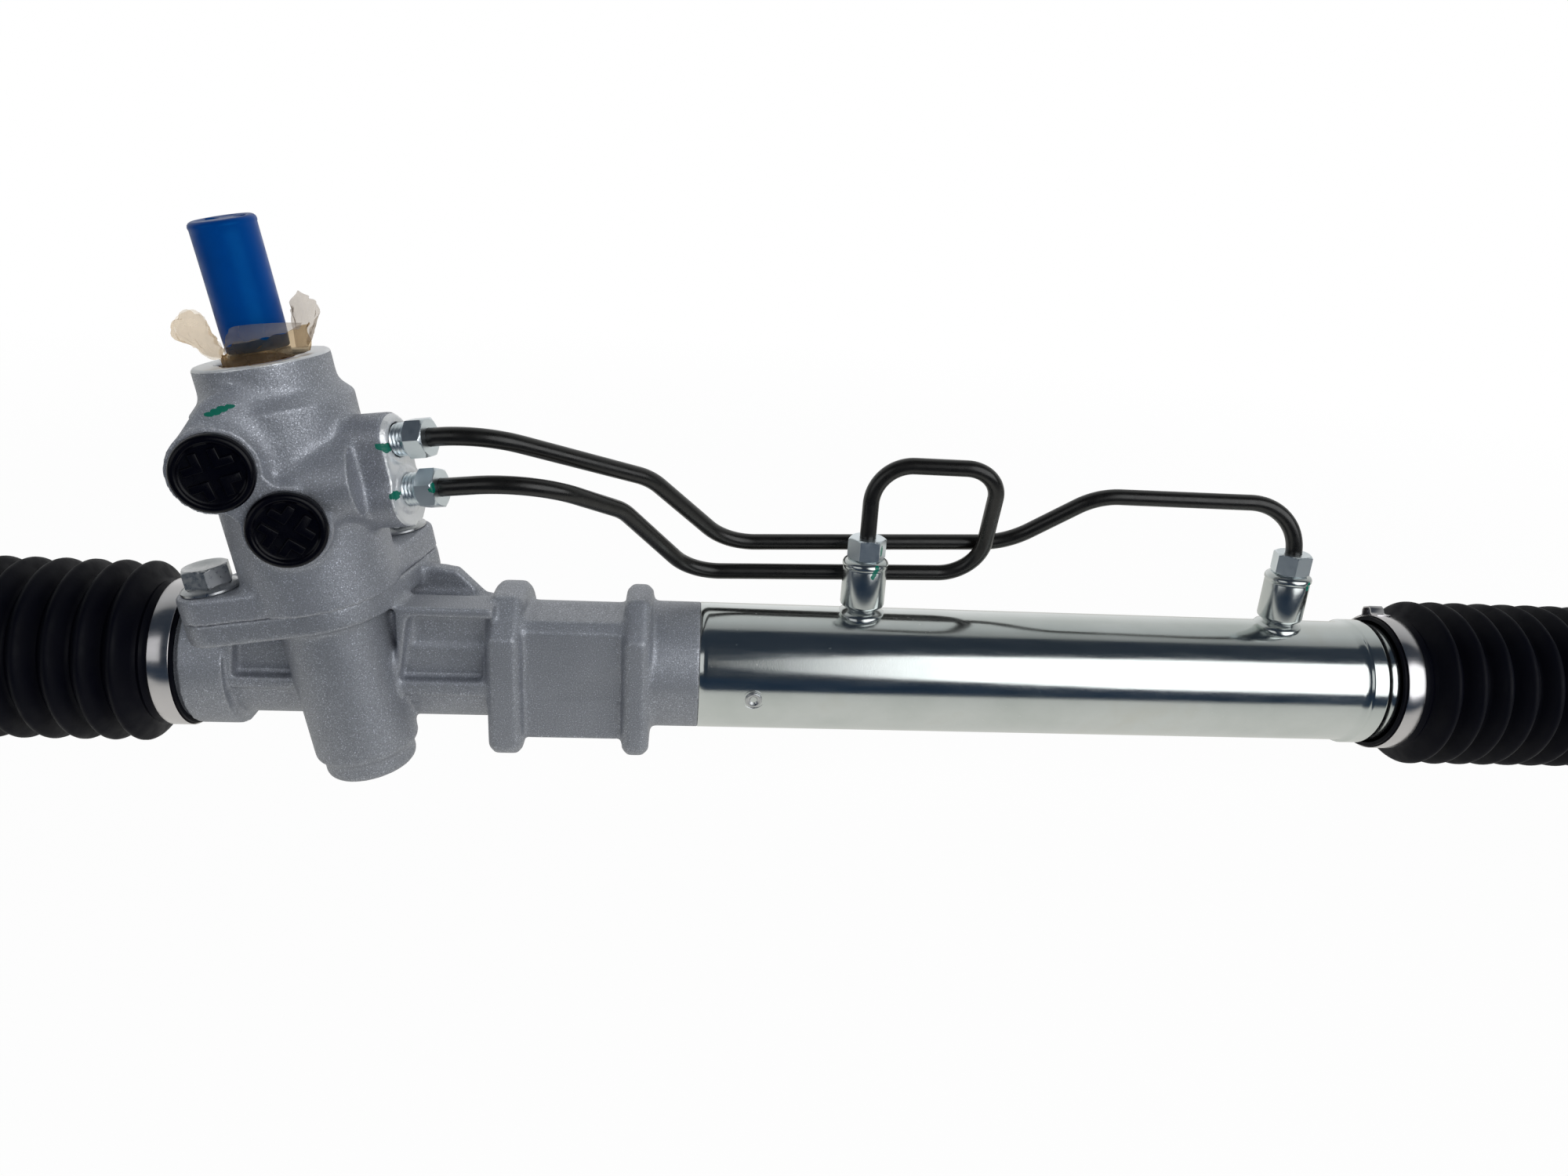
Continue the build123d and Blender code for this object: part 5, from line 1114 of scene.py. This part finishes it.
def boot_radius(s):
    """Outer radius of a boot at a distance from its cuff's end."""
    if s <= CUFF_LENGTH:
        lip = 0.7 * max(0.0, 1 - abs(s - 10.6) / 1.2)
        return CUFF_RADIUS + lip
    if s <= BELLOWS:
        turn = ((s - CUFF_LENGTH) / BOOT_PITCH) % 1
        wave = (0.5 - 0.5 * math.cos(2 * math.pi * turn)) ** 0.72
        low = ROOT_RADIUS if s > CUFF_LENGTH + BOOT_PITCH / 2 else CUFF_RADIUS
        return low + (CREST_RADIUS - low) * wave
    if s <= BELLOWS + TAIL_LENGTH:
        share = (s - BELLOWS) / TAIL_LENGTH
        ease = share * share * (3 - 2 * share)
        return ROOT_RADIUS + (SMALL_RADIUS + 1.4 - ROOT_RADIUS) * ease
    near_end = (s - BELLOWS - TAIL_LENGTH) / SMALL_LENGTH
    return SMALL_RADIUS + 1.4 * max(0.0, 1 - near_end * 6)


def boot_piece(name, cuff_x, outward, start, end):
    count = max(6, int((end - start) / 0.62))
    places = [start + (end - start) * k / count for k in range(count + 1)]
    outer = [(boot_radius(s), s) for s in places]
    inner = [(max(7.15, boot_radius(s) - WALL), s) for s in reversed(places)]
    return lathe(name, outer + inner, side_matrix(cuff_x, outward), 96, None, True, 60)


def boot(side, cuff_x, outward):
    seat, rod, node = side + "_seat", side + "_rod", side + "_boot"

    def place(s):
        return ((cuff_x + outward * s) * MM, 0, 0)

    for name, start, end, bodies in (
        ("bellows", 0.0, FIRST_SPLIT, ("housing", "rack")),
        ("cone", FIRST_SPLIT, SECOND_SPLIT, ("rack", seat)),
        ("tail", SECOND_SPLIT, BOOT_END, (seat, rod)),
    ):
        piece = boot_piece(side + "_" + name, cuff_x, outward, start, end)
        piece.data.materials.append(RUBBER)
        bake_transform(piece)
        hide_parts(node)


LEFT_CUFF_X, RIGHT_CUFF_X = -136.0, 309.3
boot("left", LEFT_CUFF_X, -1)
boot("right", RIGHT_CUFF_X, 1)


def strip_piece(name, path, width, thickness, matrix):
    """Bent strip: a path of (y, z) in mm, a width along x."""
    path = [Vector(point) for point in path]
    half = width / 2
    rings = []
    for before, (y, z), after in zip(path[:1] + path, path, path[1:] + path[-1:]):
        along = (after - before).normalized()
        over_y, over_z = y - along.y * thickness, z + along.x * thickness
        ring = ((-half, y, z), (half, y, z), (half, over_y, over_z), (-half, over_y, over_z))
        rings.append([matrix @ (Vector(corner) * MM) for corner in ring])
    return bevel(loft(name, rings), 0.12 * MM, 2, 50)


def boot_band(side, start, ear_turn):
    """Polished band with a pinched ear and the tail of the strip lying over it."""
    inner, width = 25.92, 7.0
    middle = start + width / 2
    profile = [(inner, 0.15), (inner + 0.45, 0), (inner + 0.6, 0.3), (inner + 0.6, width - 0.3)]
    profile += [(inner + 0.45, width), (inner, width - 0.15)]
    band = lathe("band", profile, side_matrix(start, 1), 160, None, True, 60)
    turn = moved(middle, turn=ear_turn, axis="X")
    top = inner + 0.5
    ear_path = [(-7, top - 0.9), (-5, top - 0.45), (-3.4, top - 0.1), (-2.6, top + 0.6), (-2.2, top + 2.4)]
    ear_path += [(-1.6, top + 3.1)]
    ear_path += [(-y, z) for y, z in reversed(ear_path)]
    ear = strip_piece("ear", ear_path, width - 1.4, 0.6, turn)
    lap = []
    for k in range(13):
        a = math.radians(8 + 22 * k / 12)
        lap.append(((inner + 0.6) * math.sin(a), (inner + 0.6) * math.cos(a)))
    over = strip_piece("over", lap, width - 0.6, 0.5, turn)
    piece = smooth(join(side + "_band", [band, ear, over]), 40)
    finish_piece(piece, "housing", BAND_STEEL, [side + "_boot_band"])


boot_band("left", -144.0, -105.0)
boot_band("right", 310.3, -25.0)


def boot_clip(side, middle):
    """Spring clip: a band round the tail with two turned-up lugs."""
    inner, width = 8.7, 5.0
    profile = [(inner, 0), (inner + 0.8, 0.1), (inner + 0.8, width - 0.1), (inner, width)]
    band = lathe("ring", profile, side_matrix(middle - width / 2, 1), 64, None, True, 60)
    turn = moved(middle)
    pieces = [band]
    for way in (-1, 1):
        path = [(way * 4.6, inner - 0.6), (way * 3.2, inner + 0.5), (way * 2.2, inner + 1.3)]
        path += [(way * 1.7, inner + 2.4)]
        pieces.append(strip_piece("lug", path if way < 0 else path[::-1], width - 1.2, 0.7, turn))
    piece = smooth(join(side + "_clip", pieces), 40)
    finish_piece(piece, side + "_rod", BOLT_STEEL, [side + "_boot_clip"])


boot_clip("left", -303.1)
boot_clip("right", 476.4)


# Tie rods and jam nuts

BALL_RADIUS, ROD_RADIUS, NECK_RADIUS = 11.0, 7.0, 5.8
ROD_LENGTH, THREAD_LENGTH = 255.0, 62.0


def tie_rod(side, outward):
    ball_x = (LEFT_BALL if side == "left" else RIGHT_BALL).x / MM
    rows, shape = threaded(ROD_RADIUS, THREAD_LENGTH - 1.5, 1.5, 0.85)
    start = ROD_LENGTH - THREAD_LENGTH
    neck = math.sqrt(BALL_RADIUS ** 2 - NECK_RADIUS ** 2)
    first = math.asin(neck / BALL_RADIUS)
    profile = [(0, -BALL_RADIUS)]
    for k in range(1, 33):
        a = -math.pi / 2 + (first + math.pi / 2) * k / 32
        profile.append((BALL_RADIUS * math.cos(a), BALL_RADIUS * math.sin(a)))
    profile += [(NECK_RADIUS, neck + 1.5), (NECK_RADIUS, 26), (6.2, 27.4), (ROD_RADIUS, 29)]
    profile += [(ROD_RADIUS, start - 3.4), (6.1, start - 2.6), (6.1, start - 0.4)]

    def wobble(radius, place, angle):
        if place < start or radius < 6.2:
            return radius
        return shape(radius, place - start, angle)

    profile += [(ROD_RADIUS, start + row) for row in rows[1:]]
    profile += [(5.4, ROD_LENGTH), (0, ROD_LENGTH)]
    piece = lathe(side + "_rod", profile, side_matrix(ball_x, outward), 64, wobble, False, 45)
    finish_piece(piece, side + "_rod", ROD_BLACK, [side + "_tie_rod"])
    nut = hex_nut(side + "_nut", side_matrix(ball_x + outward * 199, outward), 22.0, 9.0, 7.05, 1.6)
    finish_piece(nut, side + "_rod", NUT_STEEL, [side + "_jam_nut"])


tie_rod("left", -1)
tie_rod("right", 1)


# Torn film round the cap's foot

def spline(points, count):
    """Smooth curve through points."""
    points = [Vector(p) for p in points]
    ends = [points[0] * 2 - points[1]] + points + [points[-1] * 2 - points[-2]]
    curve = []
    for k in range(count + 1):
        place = min(k / count * (len(points) - 1), len(points) - 1 - 1e-9)
        j = int(place)
        a, b, c, d = ends[j:j + 4]
        s = place - j
        curve.append((
            b * 2 + (c - a) * s + (a * 2 - b * 5 + c * 4 - d) * s ** 2 + (b * 3 - a - c * 3 + d) * s ** 3
        ) / 2)
    return curve


LEAST_WIDTH = 0.0105


def film_piece(name, low, high, across, crinkle, seed, bulge=0.0, pleats=0.0, material=FILM):
    """Film between two edges, in mm in the pinion's axes, bulged to the back, crumpled and pleated."""
    count = 56
    low, high = spline(low, count), spline(high, count)
    bm = bmesh.new()
    rows = []
    for k in range(count + 1):
        row = []
        for j in range(across + 1):
            place = low[k].lerp(high[k], j / across)
            place.y += bulge * math.sin(math.pi * j / across) * math.sin(math.pi * k / count) ** 0.5
            place.y += pleats * math.sin(k * 0.62 + math.sin(k * 0.23)) * (j / across)
            row.append(bm.verts.new(place))
        rows.append(row)
    for one, two in zip(rows, rows[1:]):
        for j in range(across):
            bm.faces.new((one[j], one[j + 1], two[j + 1], two[j]))
    bm.normal_update()
    flat_area = sum(face.calc_area() for face in bm.faces) * MM * MM
    lines = [[row[j].co for row in rows] for j in range(across + 1)]
    length = max(sum((b - a).length for a, b in zip(line, line[1:])) for line in lines) * MM
    width = max(sum((b.co - a.co).length for a, b in zip(row, row[1:])) for row in rows) * MM
    moves = []
    for vert in bm.verts:
        share = noise.noise(vert.co * 0.13 + Vector((seed, 0, 0)))
        fold = abs(noise.noise(vert.co * 0.26 + Vector((0, seed, 0)))) - 0.2
        moves.append(vert.normal * crinkle * (share * 1.2 + fold * 1.5))
    for vert, move in zip(bm.verts, moves):
        vert.co += move
    for vert in bm.verts:
        vert.co = PINION_MATRIX @ (vert.co * MM)
    piece = add_object(name, bm)
    for polygon in piece.data.polygons:
        polygon.use_smooth = True
    finish_piece(piece, "housing", material, ["film_wrap"])
    width, length = max(width, LEAST_WIDTH), max(length, LEAST_WIDTH)
    return piece


LOBE_LOW = [(-9.4, -5.5, 112.8), (-13, -6, 114.6), (-17, -5, 117.0), (-21.4, -3.5, 120.6), (-23.0, -2, 124.8)]
LOBE_HIGH = [(-9.8, -4.0, 117.4), (-12.6, -2.5, 124.4), (-16.4, -1.5, 128.4), (-20.6, -1.5, 127.2)]
LOBE_HIGH += [(-22.9, -1.8, 125.2)]
film_piece("film_lobe_front", LOBE_LOW, LOBE_HIGH, 16, 1.3, 3.0, -5.5)
film_piece("film_lobe_back", LOBE_LOW, LOBE_HIGH, 16, 1.5, 8.0, 5.5)
film_piece(
    "film_skirt",
    [(-8.6, -6.0, 112.6), (-7.6, -11.0, 112.3), (-4.2, -17.0, 112.2), (0.5, -20.4, 112.2), (6, -20.0, 112.2),
     (11.4, -16.6, 112.3), (15.4, -9.5, 112.5), (16.2, -2, 112.9)],
    [(-8.4, -7, 114.6), (-7.0, -10.8, 115.4), (-3.6, -12.4, 116.8), (1, -13.2, 118.2), (7, -13.2, 119.0),
     (12.6, -12.0, 119.8), (17.0, -8.4, 120.6), (18.0, -1, 121)],
    14, 1.5, 11.0, -1.6, material=AMBER_FILM,
)
film_piece(
    "film_ribbon",
    [(-6.2, -10.4, 114.0), (-5.0, -12.4, 116.6), (-1.8, -13.6, 118.2), (2.5, -14.0, 118.4),
     (7.5, -13.8, 118.8), (12.5, -12.2, 119.6), (16.6, -8.6, 120.0)],
    [(-5.6, -11.0, 115.8), (-4.0, -13.6, 119.4), (-1.6, -15.6, 121.9), (1.2, -16.6, 123.4),
     (7.0, -16.4, 123.4), (12.0, -14.8, 123.0), (18.2, -8.6, 121.8)],
    12, 0.8, 17.0, -1.2, material=GREY_FILM,
)
film_piece(
    "film_flap",
    [(9.8, 4.5, 113.2), (12.4, 3.6, 113.0), (14.8, 0.6, 113.2), (16.6, -3, 113.8), (17.4, -6.5, 115.4)],
    [(10.6, 6.5, 124.5), (11.4, 6.6, 127.6), (14.4, 6.2, 130.4), (17.4, 4.0, 128.6), (20.4, 1.6, 127.0),
     (22.0, -0.6, 124.6), (21.0, -2.0, 122.6), (18.6, -4.0, 119.0)],
    20, 0.7, 29.0, 1.2, 0.9, GREY_FILM,
)


def glue_strip():
    """Amber glue that ran out on the top face at the front."""
    rings = []
    count = 60
    for k in range(count + 1):
        a = math.radians(-128 + 105 * k / count)
        taper = math.sin(math.pi * k / count) ** 0.6
        reach = 13.0 + taper * (6.0 + noise.noise(Vector((k * 0.21, 0, 0))))
        upper = []
        for j in range(9):
            s = j / 8
            r = 10.6 + (reach - 10.6) * s
            lift = 0.05 + taper * (1.5 * (1 - s) ** 2 + 0.55 * math.sqrt(max(0.0, 1 - s * s)))
            lift += 0.25 * taper * noise.noise(Vector((k * 0.3, j * 0.7, 4)))
            upper.append((r * math.cos(a), r * math.sin(a), TOP_FACE + 0.05 + max(0.06, lift)))
        lower = [(x, y, TOP_FACE + 0.02) for x, y, z in reversed(upper)]
        rings.append([PINION_MATRIX @ (Vector(p) * MM) for p in upper + lower])
    finish_piece(smooth(loft("glue", rings), 60), "housing", GLUE, ["film_wrap"])


glue_strip()
